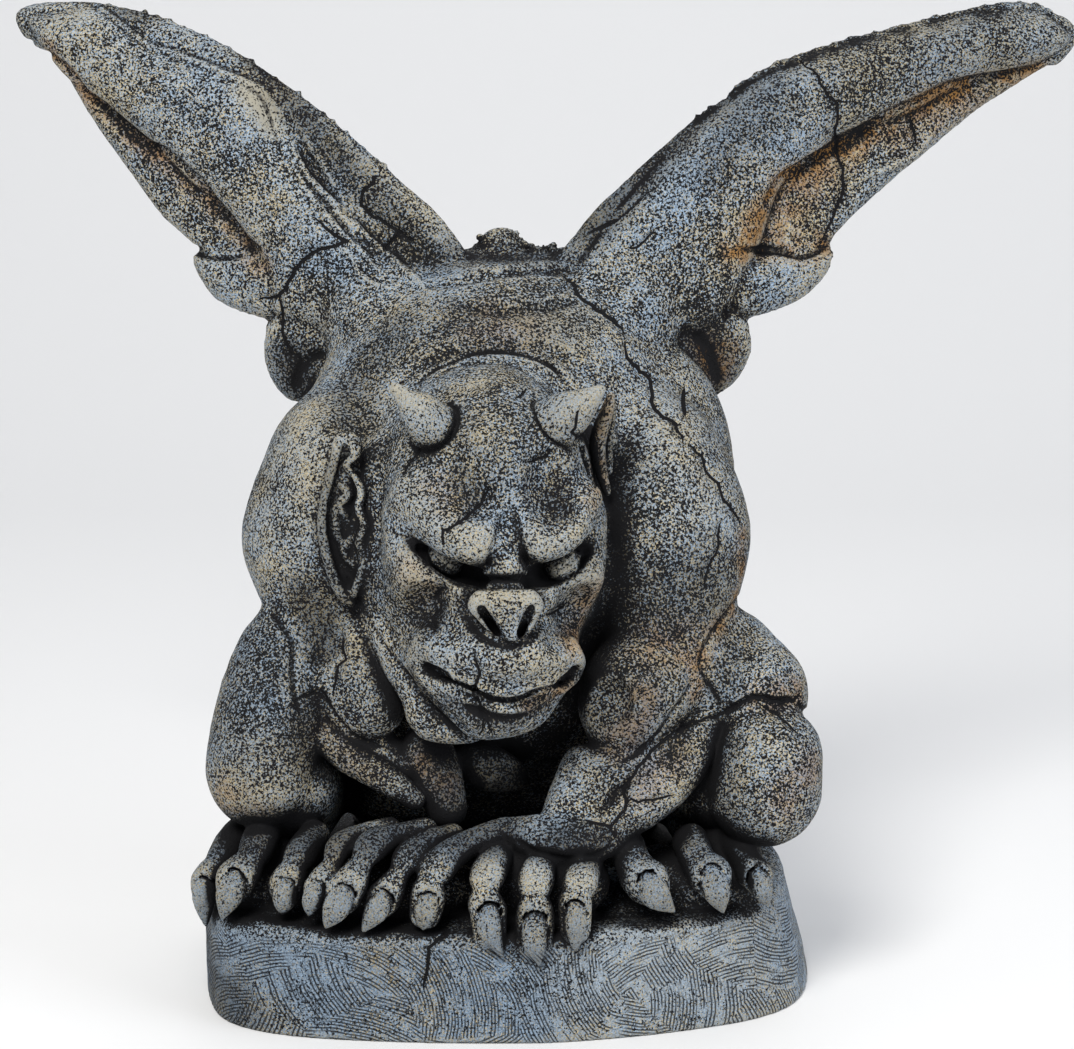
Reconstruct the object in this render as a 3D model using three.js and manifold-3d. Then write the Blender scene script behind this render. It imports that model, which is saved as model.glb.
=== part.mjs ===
// A crouching winged gargoyle in cast stone, made in one with the rough block that it squats on.
// Millimetres, +Z up. The figure faces -Y, and +X is on the right of a viewer who faces it.
// The origin is at the middle of the block's underside. Left and right are the viewer's.
import * as THREE from "three";
import { ConvexGeometry } from "three/addons/geometries/ConvexGeometry.js";
import { mergeVertices } from "three/addons/utils/BufferGeometryUtils.js";
import Module from "manifold-3d";

const wasm = await Module();
wasm.setup();

// Driving sizes
const blockHeight = 52;
const blockEdge = 5; // the worn top edge of the block
const blockRight = 134; // how far the block's top reaches to the right
const blockSpread = 13; // how much further it reaches there at the ground
const wingSweep = 17; // degrees that each wing turns back from the figure's width
const wingRootX = 47; // each wing's plane starts this far from the middle
const wingRootY = 45;
const wingRootZ = 320;
const headMiddle = [-10, -45, 248];
const headYaw = 7; // degrees towards the right
const headRoll = 3; // degrees, crown towards the right
const leastSides = 6; // sides of the thinnest round form
const mostSides = 12;
const sidesPerMillimetre = 0.09;
const shortestEdge = 1.2; // joins and cuts merge edges shorter than this

const stone = new THREE.MeshStandardMaterial({ color: 0x8c8a80, roughness: 0.88, metalness: 0 });

const degrees = (d) => (d * Math.PI) / 180;
const vector = (p) => new THREE.Vector3(p[0], p[1], p[2]);

function sidesFor(radius) {
  const sides = THREE.MathUtils.clamp(leastSides + radius * sidesPerMillimetre, leastSides, mostSides);
  return 2 * Math.round(sides / 2);
}

// A faceted round form lies inside the true one, so it is swollen to hold the same space
const swellFor = (sides) => 1 / Math.sqrt(Math.cos(Math.PI / sides));

// A closed geometry as a solid that can be joined and cut
function solidOf(geometry) {
  const bare = geometry.clone();
  bare.deleteAttribute("normal");
  bare.deleteAttribute("uv");
  const merged = mergeVertices(bare, 1e-3);
  const corners = Array.from(merged.index.array);
  const kept = [];
  for (let i = 0; i < corners.length; i += 3) {
    const [a, b, c] = corners.slice(i, i + 3);
    if (a !== b && b !== c && c !== a) kept.push(a, b, c);
  }
  return new wasm.Manifold(
    new wasm.Mesh({
      numProp: 3,
      vertProperties: new Float32Array(merged.attributes.position.array),
      triVerts: new Uint32Array(kept),
      tolerance: shortestEdge,
    }),
  );
}

// A place to build in, turned about the vertical and then rolled
function makePlace(middle = [0, 0, 0], yaw = 0, roll = 0) {
  const turn = new THREE.Matrix4().makeRotationZ(degrees(yaw));
  turn.multiply(new THREE.Matrix4().makeRotationY(degrees(roll)));
  return new THREE.Matrix4().makeTranslation(...middle).multiply(turn);
}

const ground = makePlace();
const headPlace = makePlace(headMiddle, headYaw, headRoll);

// An egg with three half sizes, rolled in degrees about the axis that points to the back
function egg(middle, halves, roll = 0, place = ground) {
  const sides = sidesFor(Math.max(...halves));
  const geometry = new THREE.SphereGeometry(swellFor(sides), sides, sides / 2 + 1);
  geometry.scale(...halves).rotateY(degrees(roll)).translate(...middle).applyMatrix4(place);
  return solidOf(geometry);
}

// A limb: balls at the points [x, y, z, radius], each joined to the next by a straight taper
function limb(points, place = ground) {
  return points.slice(1).map((end, i) => {
    const start = points[i];
    const axis = vector(end).sub(vector(start));
    const length = axis.length();
    const sides = sidesFor(Math.max(start[3], end[3]));
    const rounds = sides > leastSides ? 2 : 1;
    const swell = swellFor(sides);
    const lean = Math.asin(THREE.MathUtils.clamp((start[3] - end[3]) / length, -0.95, 0.95));
    const profile = [];
    const arc = (height, radius, from, to) => {
      for (let k = 0; k <= rounds; k++) {
        const a = THREE.MathUtils.lerp(from, to, k / rounds);
        const out = Math.abs(a) > 1.57 ? 0 : Math.cos(a) * radius * swell; // the poles lie on the axis
        profile.push(new THREE.Vector2(out, height + Math.sin(a) * radius));
      }
    };
    arc(0, start[3], -Math.PI / 2, lean);
    arc(length, end[3], lean, Math.PI / 2);
    const turn = new THREE.Quaternion().setFromUnitVectors(new THREE.Vector3(0, 1, 0), axis.normalize());
    const geometry = new THREE.LatheGeometry(profile, sides);
    geometry.applyQuaternion(turn).translate(...start.slice(0, 3)).applyMatrix4(place);
    return solidOf(geometry);
  });
}

// A limb along a smooth curve through the points
function bentLimb(points, steps, place = ground) {
  const curve = new THREE.CatmullRomCurve3(points.map(vector));
  const spots = [];
  for (let k = 0; k <= steps; k++) {
    const along = (k / steps) * (points.length - 1);
    const i = Math.min(Math.floor(along), points.length - 2);
    const radius = THREE.MathUtils.lerp(points[i][3], points[i + 1][3], along - i);
    spots.push([...curve.getPoint(k / steps).toArray(), radius]);
  }
  return limb(spots, place);
}

// The tight skin round a few balls [x, y, z, radius]
function hull(balls, place = ground) {
  const spots = balls.flatMap(([x, y, z, radius]) => {
    const detail = radius > 20 ? 1 : 0;
    const ball = new THREE.IcosahedronGeometry(radius * (detail ? 1.03 : 1.1), detail);
    const { array } = mergeVertices(ball.translate(x, y, z).applyMatrix4(place)).attributes.position;
    return Array.from({ length: array.length / 3 }, (_, i) => new THREE.Vector3().fromArray(array, 3 * i));
  });
  return [solidOf(new ConvexGeometry(spots))];
}

// A digit: knuckle, joint and tip, then a claw that tapers to its point
function digit(knuckle, joint, tip, clawPoint, radius) {
  const flesh = [[...knuckle, radius * 0.85], [...joint, radius], [...tip, radius * 0.85]];
  const claw = [[...tip, radius * 0.8], [...clawPoint, radius * 0.2]];
  return [...hull(flesh), ...limb(claw)];
}

// A pillow: an outline in a wing's own plane, swollen from its rim to its middle.
// It is sliced square to the direction "along", and each slice is joined to the next.
function pillow(side, outline, { along, slices, thick, rim, lift = 0 }) {
  const place = makePlace([side * wingRootX, wingRootY, wingRootZ], side * wingSweep);
  const dir = new THREE.Vector2(...along).normalize();
  const across = new THREE.Vector2(-dir.y, dir.x);
  const flat = outline.map((p) => new THREE.Vector2(...p));
  const reach = flat.map((p) => p.dot(dir));
  const near = Math.min(...reach) + 0.5;
  const far = Math.max(...reach) - 0.5;
  const sectionAt = (s) => {
    const hits = [];
    flat.forEach((p, i) => {
      const q = flat[(i + 1) % flat.length];
      const [a, b] = [p.dot(dir) - s, q.dot(dir) - s];
      if (a * b < 0) hits.push(THREE.MathUtils.lerp(p.dot(across), q.dot(across), a / (a - b)));
    });
    const half = Math.max((Math.max(...hits) - Math.min(...hits)) / 2, 1);
    const centre = (Math.max(...hits) + Math.min(...hits)) / 2;
    return [-1, -0.75, 0, 0.75, 1].flatMap((share) => {
      const depth = Math.min((half * (1 - Math.abs(share))) / rim, 1);
      const swell = Math.max(thick * Math.sqrt(1 - (1 - depth) ** 2), 0.8);
      const spot = dir.clone().multiplyScalar(s).addScaledVector(across, centre + half * share);
      return [-swell, swell].map((y) => new THREE.Vector3(spot.x, y - lift, spot.y).applyMatrix4(place));
    });
  };
  const sections = [];
  for (let k = 0; k <= slices; k++) sections.push(sectionAt(THREE.MathUtils.lerp(near, far, k / slices)));
  return sections.slice(1).map((section, i) => solidOf(new ConvexGeometry([...sections[i], ...section])));
}

// A flat blade in a wing's own plane, with its rim bevelled on both faces
function blade(side, outline, { thick, bevel }) {
  const place = makePlace([side * wingRootX, wingRootY, wingRootZ], side * wingSweep);
  const shape = new THREE.Shape(outline.map((p) => new THREE.Vector2(...p)));
  const geometry = new THREE.ExtrudeGeometry(shape, {
    depth: 2 * (thick - bevel),
    bevelThickness: bevel,
    bevelSize: bevel,
    bevelOffset: -bevel,
    bevelSegments: 1,
  });
  geometry.translate(0, 0, bevel - thick).rotateX(Math.PI / 2).applyMatrix4(place);
  return solidOf(geometry);
}

// The block: an oval outline, worn along its top edge, with its right side spreading downwards
function block() {
  const outline = [
    [-143, -50], [-131, -84], [-100, -103], [-50, -111], [0, -113], [30, -110], [70, -98], [108, -78],
    [128, -48], [blockRight, 0], [129, 50], [108, 84], [65, 100], [0, 106], [-70, 102], [-120, 86], [-142, 50],
    [-147, 0],
  ];
  const ring = (height, inset) =>
    outline.map(([x, y]) => {
      const spread = (Math.max(x, 0) / blockRight) * blockSpread * (1 - height / blockHeight);
      const shrink = 1 - inset / Math.hypot(x, y);
      return new THREE.Vector3(x * shrink + spread, y * shrink, height);
    });
  return [
    solidOf(
      new ConvexGeometry([
        ...ring(0, 0),
        ...ring(blockHeight - blockEdge, 0),
        ...ring(blockHeight - blockEdge * 0.3, blockEdge * 0.35),
        ...ring(blockHeight, blockEdge),
      ]),
    ),
  ];
}

function trunk() {
  return [
    egg([-5, 25, 262], [93, 66, 74]), // rounded shoulders
    egg([-5, 36, 200], [86, 64, 142]), // back and belly
    egg([-5, -25, 165], [62, 48, 60]), // chest
    egg([-42, 50, 98], [50, 52, 50]), // haunches
    egg([38, 50, 98], [50, 52, 50]),
    ...limb([[-62, 48, 316, 30], [-4, 50, 324, 24], [56, 48, 318, 30]]), // yoke between the wings
    egg([-4, 50, 350], [10, 9, 8]), // knob of the spine
    egg([-80, -6, 226], [41, 52, 64]), // shoulders
    egg([70, -6, 220], [42, 52, 66]),
    egg([68, 34, 236], [42, 44, 70]), // flank behind its left shoulder
    egg([-6, -10, 255], [66, 50, 56]), // neck
  ];
}

function legs() {
  const sides = [
    { side: -1, kneeX: -108, kneeZ: 138, half: 35, lowX: -111, lowZ: 115 },
    { side: 1, kneeX: 110, kneeZ: 128, half: 38, lowX: 117, lowZ: 112 },
  ];
  const pieces = sides.flatMap(({ side, kneeX, kneeZ, half, lowX, lowZ }) => [
    // thigh and knee, then the shin back to the heel and the foot forwards again
    ...hull([[side * 62 - 4, 58, 130, 46], [kneeX, -46, kneeZ + 3, half], [lowX, -58, lowZ, 30]]),
    ...limb([[kneeX - side * 2, -45, 104, 26], [side * 98 - 4, 40, 76, 22], [side * 108 - 4, -40, 68, 17]]),
  ]);
  return [...pieces, egg([113, -26, 166], [29, 34, 28])]; // the fold of its left thigh
}

function arms() {
  return [
    ...hull([[-92, -12, 215, 38], [-98, -28, 182, 33], [-90, -44, 152, 26]]),
    egg([-64, -58, 163], [14, 18, 30], -12),
    ...bentLimb([[-90, -46, 150, 24], [-76, -66, 124, 22], [-48, -80, 104, 18], [-24, -84, 92, 15]], 3),
    ...hull([[80, -12, 215, 38], [84, -32, 182, 35], [82, -48, 156, 27]]),
    egg([60, -55, 158], [30, 25, 32]),
    ...bentLimb([[92, -46, 146, 26], [78, -64, 120, 24], [58, -78, 100, 19], [40, -84, 86, 15]], 3),
    egg([50, -72, 116], [20, 16, 22]),
  ];
}

// Its left hand grips the front of the block with three fingers, and its right hand lies beside it
function hands() {
  return [
    egg([18, -90, 72], [30, 20, 24]), // palm and heel of the hand
    ...digit([2, -92, 84], [-7, -108, 80], [-9, -116, 62], [-7.5, -121, 44], 8.5),
    ...digit([14, -92, 84], [12, -108, 81], [13, -116, 62], [13, -121, 41], 8.5),
    ...digit([26, -92, 84], [30, -108, 80], [31, -116, 62], [31, -121, 47], 8.5),
    ...digit([-6, -92, 86], [-26, -104, 80], [-34, -108, 66], [-36, -112, 53], 7.5),
    egg([-50, -84, 68], [38, 20, 20]),
    ...digit([-44, -90, 84], [-50, -102, 82], [-56, -108, 68], [-58, -112, 53], 7),
    ...digit([-52, -88, 86], [-66, -102, 84], [-72, -106, 70], [-75, -110, 53], 7),
    ...digit([-58, -88, 86], [-76, -100, 84], [-83, -104, 70], [-86, -108, 53], 7),
  ];
}

function feet() {
  return [
    egg([-118, -56, 62], [26, 34, 18]), // soles
    egg([88, -56, 62], [36, 34, 18]),
    ...digit([-112, -62, 84], [-101, -88, 84], [-98, -96, 70], [-97, -101, 53], 9),
    ...digit([-120, -55, 86], [-118, -80, 84], [-123, -88, 70], [-124, -93, 53], 9),
    ...digit([-126, -45, 86], [-132, -64, 84], [-139, -72, 68], [-141, -76, 50], 9),
    ...digit([62, -60, 80], [60, -84, 80], [66, -94, 70], [71, -100, 53], 10),
    ...digit([84, -60, 82], [88, -78, 80], [95, -88, 70], [98, -93, 53], 10),
    ...digit([104, -55, 82], [110, -70, 80], [117, -78, 70], [118, -80, 53], 10),
  ];
}

// Points of the head are from its own middle: x right, y back, z up
function head() {
  const at = (middle, halves, roll = 0) => egg(middle, halves, roll, headPlace);
  const rod = (points) => limb(points, headPlace);
  const skin = (balls) => hull(balls, headPlace);
  const forms = [
    at([0, 2, 2], [50, 56, 56]), // skull
    at([1, -6, -38], [53, 50, 48]), // cheeks
    at([3, -28, -78], [38, 38, 30]), // jaw
    at([3, -44, -64], [33, 30, 24]), // muzzle
    at([3, -28, 14], [38, 38, 28]), // forehead
    ...skin([[-36, -44, 4, 12], [-26, -55, -1, 14], [-11, -60, -11, 14]]), // brows
    ...skin([[42, -42, 2, 12], [33, -53, -3, 13], [18, -60, -11, 14]]),
    ...rod([[-37, -40, -22, 11], [-31, -44, -48, 12]]), // cheekbones
    ...rod([[44, -35, -22, 11], [39, -40, -48, 12]]),
    ...skin([[-26, -46, -70, 14], [3, -60, -69, 16], [34, -44, -68, 14]]), // upper lip
    ...rod([[-29, -50, -81, 3], [3, -66, -91, 4.5], [37, -46, -78, 3]]), // lower lip
    at([2, -40, -95], [30, 22, 14]), // chin
    ...rod([[-28, -30, 34, 13], [-47, -44, 52, 4.5]]), // horns
    ...rod([[31, -30, 34, 14], [50, -41, 53, 4.5]]),
    ...skin([[-60, -2, 18, 6], [-66, -2, -8, 6], [-62, -6, -50, 5], [-54, 0, -14, 8]]), // ears
    ...rod([[54, -8, 46, 4], [55, -4, 0, 5]]),
  ];
  const hollows = [
    ...rod([[-33, -57, -19, 6], [-11, -66, -28, 6]]), // eye sockets
    ...rod([[39, -54, -21, 6], [17, -66, -28, 6]]),
    ...rod([[-31, -57, -77, 3.5], [-12, -72, -85, 2.2], [3, -76, -87, 2]]), // mouth
    ...rod([[39, -54, -75, 3.5], [19, -72, -85, 2.2], [3, -76, -87, 2]]),
  ];
  const nose = [
    at([3, -62, -27], [9, 8, 6]),
    ...skin([[-9, -67, -39, 7], [15, -67, -39, 7], [3, -69, -40, 7], [5, -67, -52, 5.5]]),
    at([-21, -49, -24], [10, 8, 8]), // eyeballs
    at([28, -49, -26], [9, 8, 8]),
  ];
  const nostrils = [
    ...rod([[-8, -74, -40, 2.4], [-1, -73, -51, 2.2]]),
    ...rod([[15, -74, -40, 2.4], [9, -73, -51, 2.2]]),
  ];
  return cut([cut(forms, hollows), ...nose], nostrils);
}

// The fold of skin that rolls round the back of the skull
function hood() {
  return bentLimb(
    [[-54, -46, 268, 7], [-44, -32, 288, 7], [-3, -12, 307, 8], [37, -28, 289, 7], [46, -40, 270, 7]],
    5,
  );
}

// Outlines in the plane of each wing: outwards from its root, and up
function wings() {
  const left = {
    blade: [
      [205, 137], [198, 142], [185, 144], [162, 144], [129, 137], [98, 126], [74, 113], [50, 97], [8, 63],
      [-20, 38], [-33, 5], [3, -56], [58, -51], [74, -30], [74, -10], [100, -1], [112, 14], [113, 26],
      [129, 39], [148, 63], [168, 90], [184, 115], [200, 126],
    ],
    front: [
      [196, 134], [185, 139], [157, 141], [130, 125], [98, 116], [74, 104], [62, 82], [43, 58], [12, 30],
      [-17, 12], [0, -14], [39, -16], [68, -6], [74, 18], [91, 42], [109, 56], [131, 75], [155, 94],
      [179, 109],
    ],
    lobes: [
      [[112, 22], [100, 0], [74, -8], [60, 0], [62, 30], [90, 40]],
      [[74, -12], [74, -32], [66, -46], [56, -50], [30, -50], [30, 0], [60, 0]],
    ],
  };
  const right = {
    blade: [
      [247, 125], [243, 133], [235, 137], [213, 143], [171, 137], [131, 128], [101, 120], [73, 109],
      [61, 99], [45, 90], [12, 62], [-12, 39], [-31, 5], [10, -56], [59, -43], [73, -25], [74, -10],
      [98, -1], [112, 11], [119, 31], [160, 65], [190, 88], [227, 110], [237, 112],
    ],
    front: [
      [240, 124], [232, 134], [213, 140], [171, 135], [131, 126], [101, 118], [73, 107], [45, 88],
      [20, 65], [-1, 42], [-21, 9], [20, -14], [51, -16], [74, 20], [83, 44], [91, 60], [109, 73],
      [123, 81], [154, 90], [181, 103], [221, 113],
    ],
    lobes: [
      [[119, 31], [112, 11], [98, -1], [74, -8], [60, 0], [62, 30], [95, 42]],
      [[74, -12], [73, -28], [60, -44], [40, -50], [20, -50], [20, 0], [60, 0]],
    ],
  };
  return [[-1, left], [1, right]].flatMap(([side, wing]) => {
    const turned = (outline) => outline.map(([u, v]) => [side * u, v]);
    return [
      blade(side, turned(wing.blade), { thick: 8, bevel: 5 }),
      ...pillow(side, turned(wing.front), {
        along: [side * 0.86, 0.51],
        slices: 6,
        thick: 15,
        rim: 22,
        lift: 6,
      }),
      ...wing.lobes.flatMap((lobe) =>
        pillow(side, turned(lobe), { along: [0.3 * side, 1], slices: 2, thick: 10, rim: 14, lift: 5 }),
      ),
    ];
  });
}

function join(solids) {
  return solids.reduce((whole, next) => whole.add(next));
}

function cut(solids, hollows) {
  return join(solids).subtract(join(hollows));
}

const pieces = [block(), trunk(), legs(), arms(), wings(), hood(), head(), hands(), feet()].flat();
const bodies = join(pieces).decompose(); // the casting, and specks left where faces meet
const casting = bodies.reduce((largest, body) => (body.volume() > largest.volume() ? body : largest));
const { numProp, vertProperties, triVerts } = casting.getMesh();
const corners = new THREE.InterleavedBuffer(vertProperties, numProp);
const geometry = new THREE.BufferGeometry();
geometry.setAttribute("position", new THREE.InterleavedBufferAttribute(corners, 3, 0));
geometry.setIndex(new THREE.BufferAttribute(triVerts, 1));

const gargoyle = new THREE.Mesh(geometry, stone);
gargoyle.name = "gargoyle_with_block";
const part = new THREE.Group();
part.add(gargoyle);

export default part;
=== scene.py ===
import math

import bmesh
import bpy
import numpy as np
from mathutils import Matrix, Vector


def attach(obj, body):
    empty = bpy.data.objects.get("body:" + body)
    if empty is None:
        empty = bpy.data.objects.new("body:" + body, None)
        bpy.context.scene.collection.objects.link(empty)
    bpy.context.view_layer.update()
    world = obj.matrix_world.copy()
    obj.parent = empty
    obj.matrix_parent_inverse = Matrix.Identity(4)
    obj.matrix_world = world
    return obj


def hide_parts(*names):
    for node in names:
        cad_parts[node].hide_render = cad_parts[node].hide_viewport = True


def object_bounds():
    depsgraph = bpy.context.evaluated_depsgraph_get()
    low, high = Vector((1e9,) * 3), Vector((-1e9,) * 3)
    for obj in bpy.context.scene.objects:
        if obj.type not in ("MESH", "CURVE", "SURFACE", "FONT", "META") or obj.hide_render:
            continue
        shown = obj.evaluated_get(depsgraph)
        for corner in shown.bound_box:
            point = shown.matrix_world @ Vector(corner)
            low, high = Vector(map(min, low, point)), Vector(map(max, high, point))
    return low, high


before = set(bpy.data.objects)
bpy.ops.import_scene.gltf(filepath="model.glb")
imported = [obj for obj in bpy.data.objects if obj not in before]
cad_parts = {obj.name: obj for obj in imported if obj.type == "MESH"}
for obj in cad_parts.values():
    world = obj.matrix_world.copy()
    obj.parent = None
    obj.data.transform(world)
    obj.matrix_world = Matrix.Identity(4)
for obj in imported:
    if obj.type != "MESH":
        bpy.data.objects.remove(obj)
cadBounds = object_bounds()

import openvdb
from mathutils import Vector
from mathutils.bvhtree import BVHTree

# The figure is modelled in clay: rounded masses in millimetres, blended where they meet,
# then meshed, cracked, worn and painted. +Z up, the figure faces -Y, +X is the viewer's right.
toMetres = 0.001

meshing = {
    "cell": 1.15,  # grid spacing of the clay
    "roughCell": 4.0,  # spacing of the first pass, which finds where the surface is
    "blockCells": 24,
    "reach": 9.0,  # a block nearer to the surface than this is worked out finely
    "triangles": 195000,
    "far": 40.0,
}

photo = {
    "width": 1074,
    "height": 1049,
    "target": (14.0, 0.0, 221.4),
    "distance": 1700.0,
    "elevation": 12.0,
    "millimetresPerPixel": 0.48,
    "sensor": 36.0,
}


def turned(yaw=0.0, roll=0.0, pitch=0.0):
    y, r, p = (math.radians(v) for v in (yaw, roll, pitch))
    aboutZ = np.array([[math.cos(y), -math.sin(y), 0], [math.sin(y), math.cos(y), 0], [0, 0, 1]])
    aboutY = np.array([[math.cos(r), 0, math.sin(r)], [0, 1, 0], [-math.sin(r), 0, math.cos(r)]])
    aboutX = np.array([[1, 0, 0], [0, math.cos(p), -math.sin(p)], [0, math.sin(p), math.cos(p)]])
    return aboutZ @ aboutX @ aboutY


def blend(a, b, soft, cut):
    # joins b to a, or cuts it away, with a seam of the given softness
    if cut:
        return -blend(-a, b, soft, False)
    if soft <= 0:
        return np.minimum(a, b)
    near = np.maximum(soft - np.abs(a - b), 0) / soft
    return np.minimum(a, b) - near * near * soft * 0.25


def taperDistance(x, y, z, start, end, startRadius, endRadius):
    # distance to two balls and the straight taper that wraps them
    axis = end - start
    x, y, z = x - start[0], y - start[1], z - start[2]
    lengthSquared = float(axis @ axis)
    shrink = startRadius - endRadius
    slant = lengthSquared - shrink * shrink
    if lengthSquared < 1e-6 or slant <= 0:
        return np.sqrt(x * x + y * y + z * z) - max(startRadius, endRadius)
    along = x * axis[0] + y * axis[1] + z * axis[2]
    squared = x * x + y * y + z * z
    across = np.sqrt(np.maximum(squared * lengthSquared - along * along, 0))
    side = (across * math.sqrt(slant) + along * shrink) / lengthSquared - startRadius
    beforeStart = along * math.sqrt(slant) < across * shrink
    pastEnd = (along - lengthSquared) * math.sqrt(slant) > across * shrink
    atStart = np.sqrt(squared) - startRadius
    toEnd = squared - 2 * along + lengthSquared
    atEnd = np.sqrt(np.maximum(toEnd, 0)) - endRadius
    return np.where(pastEnd, atEnd, np.where(beforeStart, atStart, side))


def curveThrough(points, steps, closed=False):
    # a smooth curve through given points
    points = np.asarray(points, float)
    count = len(points)
    spots = []
    for i in range(count if closed else count - 1):
        if closed:
            a, b, c, d = (points[(i + k) % count] for k in (-1, 0, 1, 2))
        else:
            a, b, c, d = (points[min(max(i + k, 0), count - 1)] for k in (-1, 0, 1, 2))
        for t in np.arange(steps) / steps:
            spots.append(0.5 * (2 * b + (c - a) * t + (2 * a - 5 * b + 4 * c - d) * t * t
                                + (3 * b - a - 3 * c + d) * t ** 3))
    if not closed:
        spots.append(points[-1])
    return np.array(spots)


def outlineDistance(u, v, outline):
    # signed distance to a closed outline, negative inside
    squared = np.full(np.shape(u), 1e9)
    sign = np.ones(np.shape(u))
    for p, q in zip(outline, np.roll(outline, 1, axis=0)):
        edge = q - p
        du, dv = u - p[0], v - p[1]
        t = np.clip((du * edge[0] + dv * edge[1]) / max(edge @ edge, 1e-9), 0, 1)
        squared = np.minimum(squared, (du - edge[0] * t) ** 2 + (dv - edge[1] * t) ** 2)
        above, below, left = v >= p[1], v < q[1], edge[0] * dv > edge[1] * du
        sign = np.where((above & below & left) | (~above & ~below & ~left), -sign, sign)
    return sign * np.sqrt(squared)


class Map:
    # values over a plane, worked out once on a raster and read back between its points
    def __init__(self, low, high, step=1.0):
        self.low, self.step = np.array(low, float), step
        counts = np.ceil((np.array(high) - low) / step).astype(int) + 1
        self.u, self.v = np.meshgrid(*(low[i] + step * np.arange(counts[i]) for i in (0, 1)), indexing="ij")

    def read(self, values, u, v):
        a = np.clip((u - self.low[0]) / self.step, 0, values.shape[0] - 1.001)
        b = np.clip((v - self.low[1]) / self.step, 0, values.shape[1] - 1.001)
        i, j = a.astype(np.int32), b.astype(np.int32)
        a, b = a - i, b - j
        return ((values[i, j] * (1 - a) + values[i + 1, j] * a) * (1 - b)
                + (values[i, j + 1] * (1 - a) + values[i + 1, j + 1] * a) * b)


class Clay:
    def __init__(self):
        self.masses = []
        self.within((0, 0, 0))

    def within(self, middle, yaw=0.0, roll=0.0, pitch=0.0):
        # the next masses are placed in a frame with this middle and turn
        self.middle = np.array(middle, float)
        self.turn = turned(yaw, roll, pitch)

    def put(self, point):
        return self.middle + self.turn @ np.array(point, float)

    def add(self, distance, low, high, soft, cut):
        self.masses.append((distance, np.array(low), np.array(high), float(soft), cut))

    def egg(self, at, half, roll=0.0, pitch=0.0, yaw=0.0, soft=6.0, cut=False):
        centre = self.put(at)
        turn = self.turn @ turned(yaw, roll, pitch)
        half = np.array(half, float)
        extent = np.sqrt(((turn * half) ** 2).sum(axis=1))

        def distance(x, y, z):
            x, y, z = x - centre[0], y - centre[1], z - centre[2]
            once, twice = 0.0, 0.0
            for i in range(3):
                along = (turn[0, i] * x + turn[1, i] * y + turn[2, i] * z) / half[i]
                once = once + along * along
                twice = twice + (along / half[i]) ** 2
            once = np.sqrt(once)
            return once * (once - 1) / np.sqrt(np.maximum(twice, 1e-9))

        self.add(distance, centre - extent, centre + extent, soft, cut)

    def limb(self, points, soft=6.0, cut=False, steps=1):
        # balls at the points (x, y, z, radius), each tapered straight to the next
        spots = np.array([[*self.put(p[:3]), p[3]] for p in points])
        if steps > 1:
            spots = curveThrough(spots, steps)
        low = (spots[:, :3] - spots[:, 3:]).min(axis=0)
        high = (spots[:, :3] + spots[:, 3:]).max(axis=0)

        def distance(x, y, z):
            nearest = None
            for start, end in zip(spots[:-1], spots[1:]):
                one = taperDistance(x, y, z, start[:3], end[:3], start[3], end[3])
                nearest = one if nearest is None else np.minimum(nearest, one)
            return nearest

        self.add(distance, low, high, soft, cut)

    def lay(self, value, low, cell, margin):
        # blends every mass into a box of the grid, each where it reaches
        counts = np.array(value.shape)
        axes = [(low[i] + cell * np.arange(counts[i])).astype(np.float32) for i in range(3)]
        for distance, massLow, massHigh, soft, cut in self.masses:
            first = np.maximum(np.floor((massLow - margin - soft - low) / cell).astype(int), 0)
            last = np.minimum(np.ceil((massHigh + margin + soft - low) / cell).astype(int) + 1, counts)
            if (last <= first).any():
                continue
            x, y, z = (axes[i][first[i]:last[i]] for i in range(3))
            part = tuple(slice(p, q) for p, q in zip(first, last))
            near = distance(x[:, None, None], y[None, :, None], z[None, None, :]).astype(np.float32)
            value[part] = blend(value[part], near, soft, cut)
        return value

    def depthAt(self, points):
        # the blended distance at loose points
        x, y, z = points.T
        value = np.full(len(points), meshing["far"])
        for distance, massLow, massHigh, soft, cut in self.masses:
            close = ((points > massLow - 30) & (points < massHigh + 30)).all(axis=1)
            if close.any():
                value[close] = blend(value[close], distance(x[close], y[close], z[close]), soft, cut)
        return value

    def meet(self, pixels):
        # where the photograph's lines of sight through these pixels meet the clay
        eye, ways = sightLines(np.asarray(pixels, float))
        along = np.full(len(ways), photo["distance"] - 350)
        for step in range(60):
            gap = self.depthAt(eye + ways * along[:, None])
            along += 0.8 * gap
            if np.abs(gap).max() < 0.05:
                break
        return eye + ways * along[:, None], ways

    def press(self, pixels, width, depth, soft=0.6):
        # a tool mark along a line seen in the photograph: width and depth in millimetres
        line = curveThrough(pixels, 3)
        spots, ways = self.meet(line)
        along = np.linspace(0, 1, len(line))
        fade = np.minimum(1, 0.35 + 4 * np.minimum(along, 1 - along))
        bottom = depth - width / 2
        for level in np.linspace(min(bottom, 0), bottom, max(1, math.ceil(2 * bottom / width))):
            self.limbThrough(spots + ways * (level * fade)[:, None], width / 2 * fade, soft, True)

    def roll(self, pixels, radii, sink=0.5, soft=1.5):
        # a coil of clay laid along a line seen in the photograph, sunk by this share of its radius
        line = curveThrough(pixels, 3)
        spots, ways = self.meet(line)
        radii = np.interp(np.linspace(0, 1, len(line)), np.linspace(0, 1, len(radii)), radii)
        self.limbThrough(spots + ways * (radii * sink)[:, None], radii, soft, False)

    def dent(self, pixels, radii, depth, soft):
        # a thumb drawn along a line seen in the photograph
        line = curveThrough(pixels, 3)
        spots, ways = self.meet(line)
        radii = np.interp(np.linspace(0, 1, len(line)), np.linspace(0, 1, len(radii)), radii)
        self.limbThrough(spots - ways * (radii - depth)[:, None], radii, soft, True)

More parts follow.
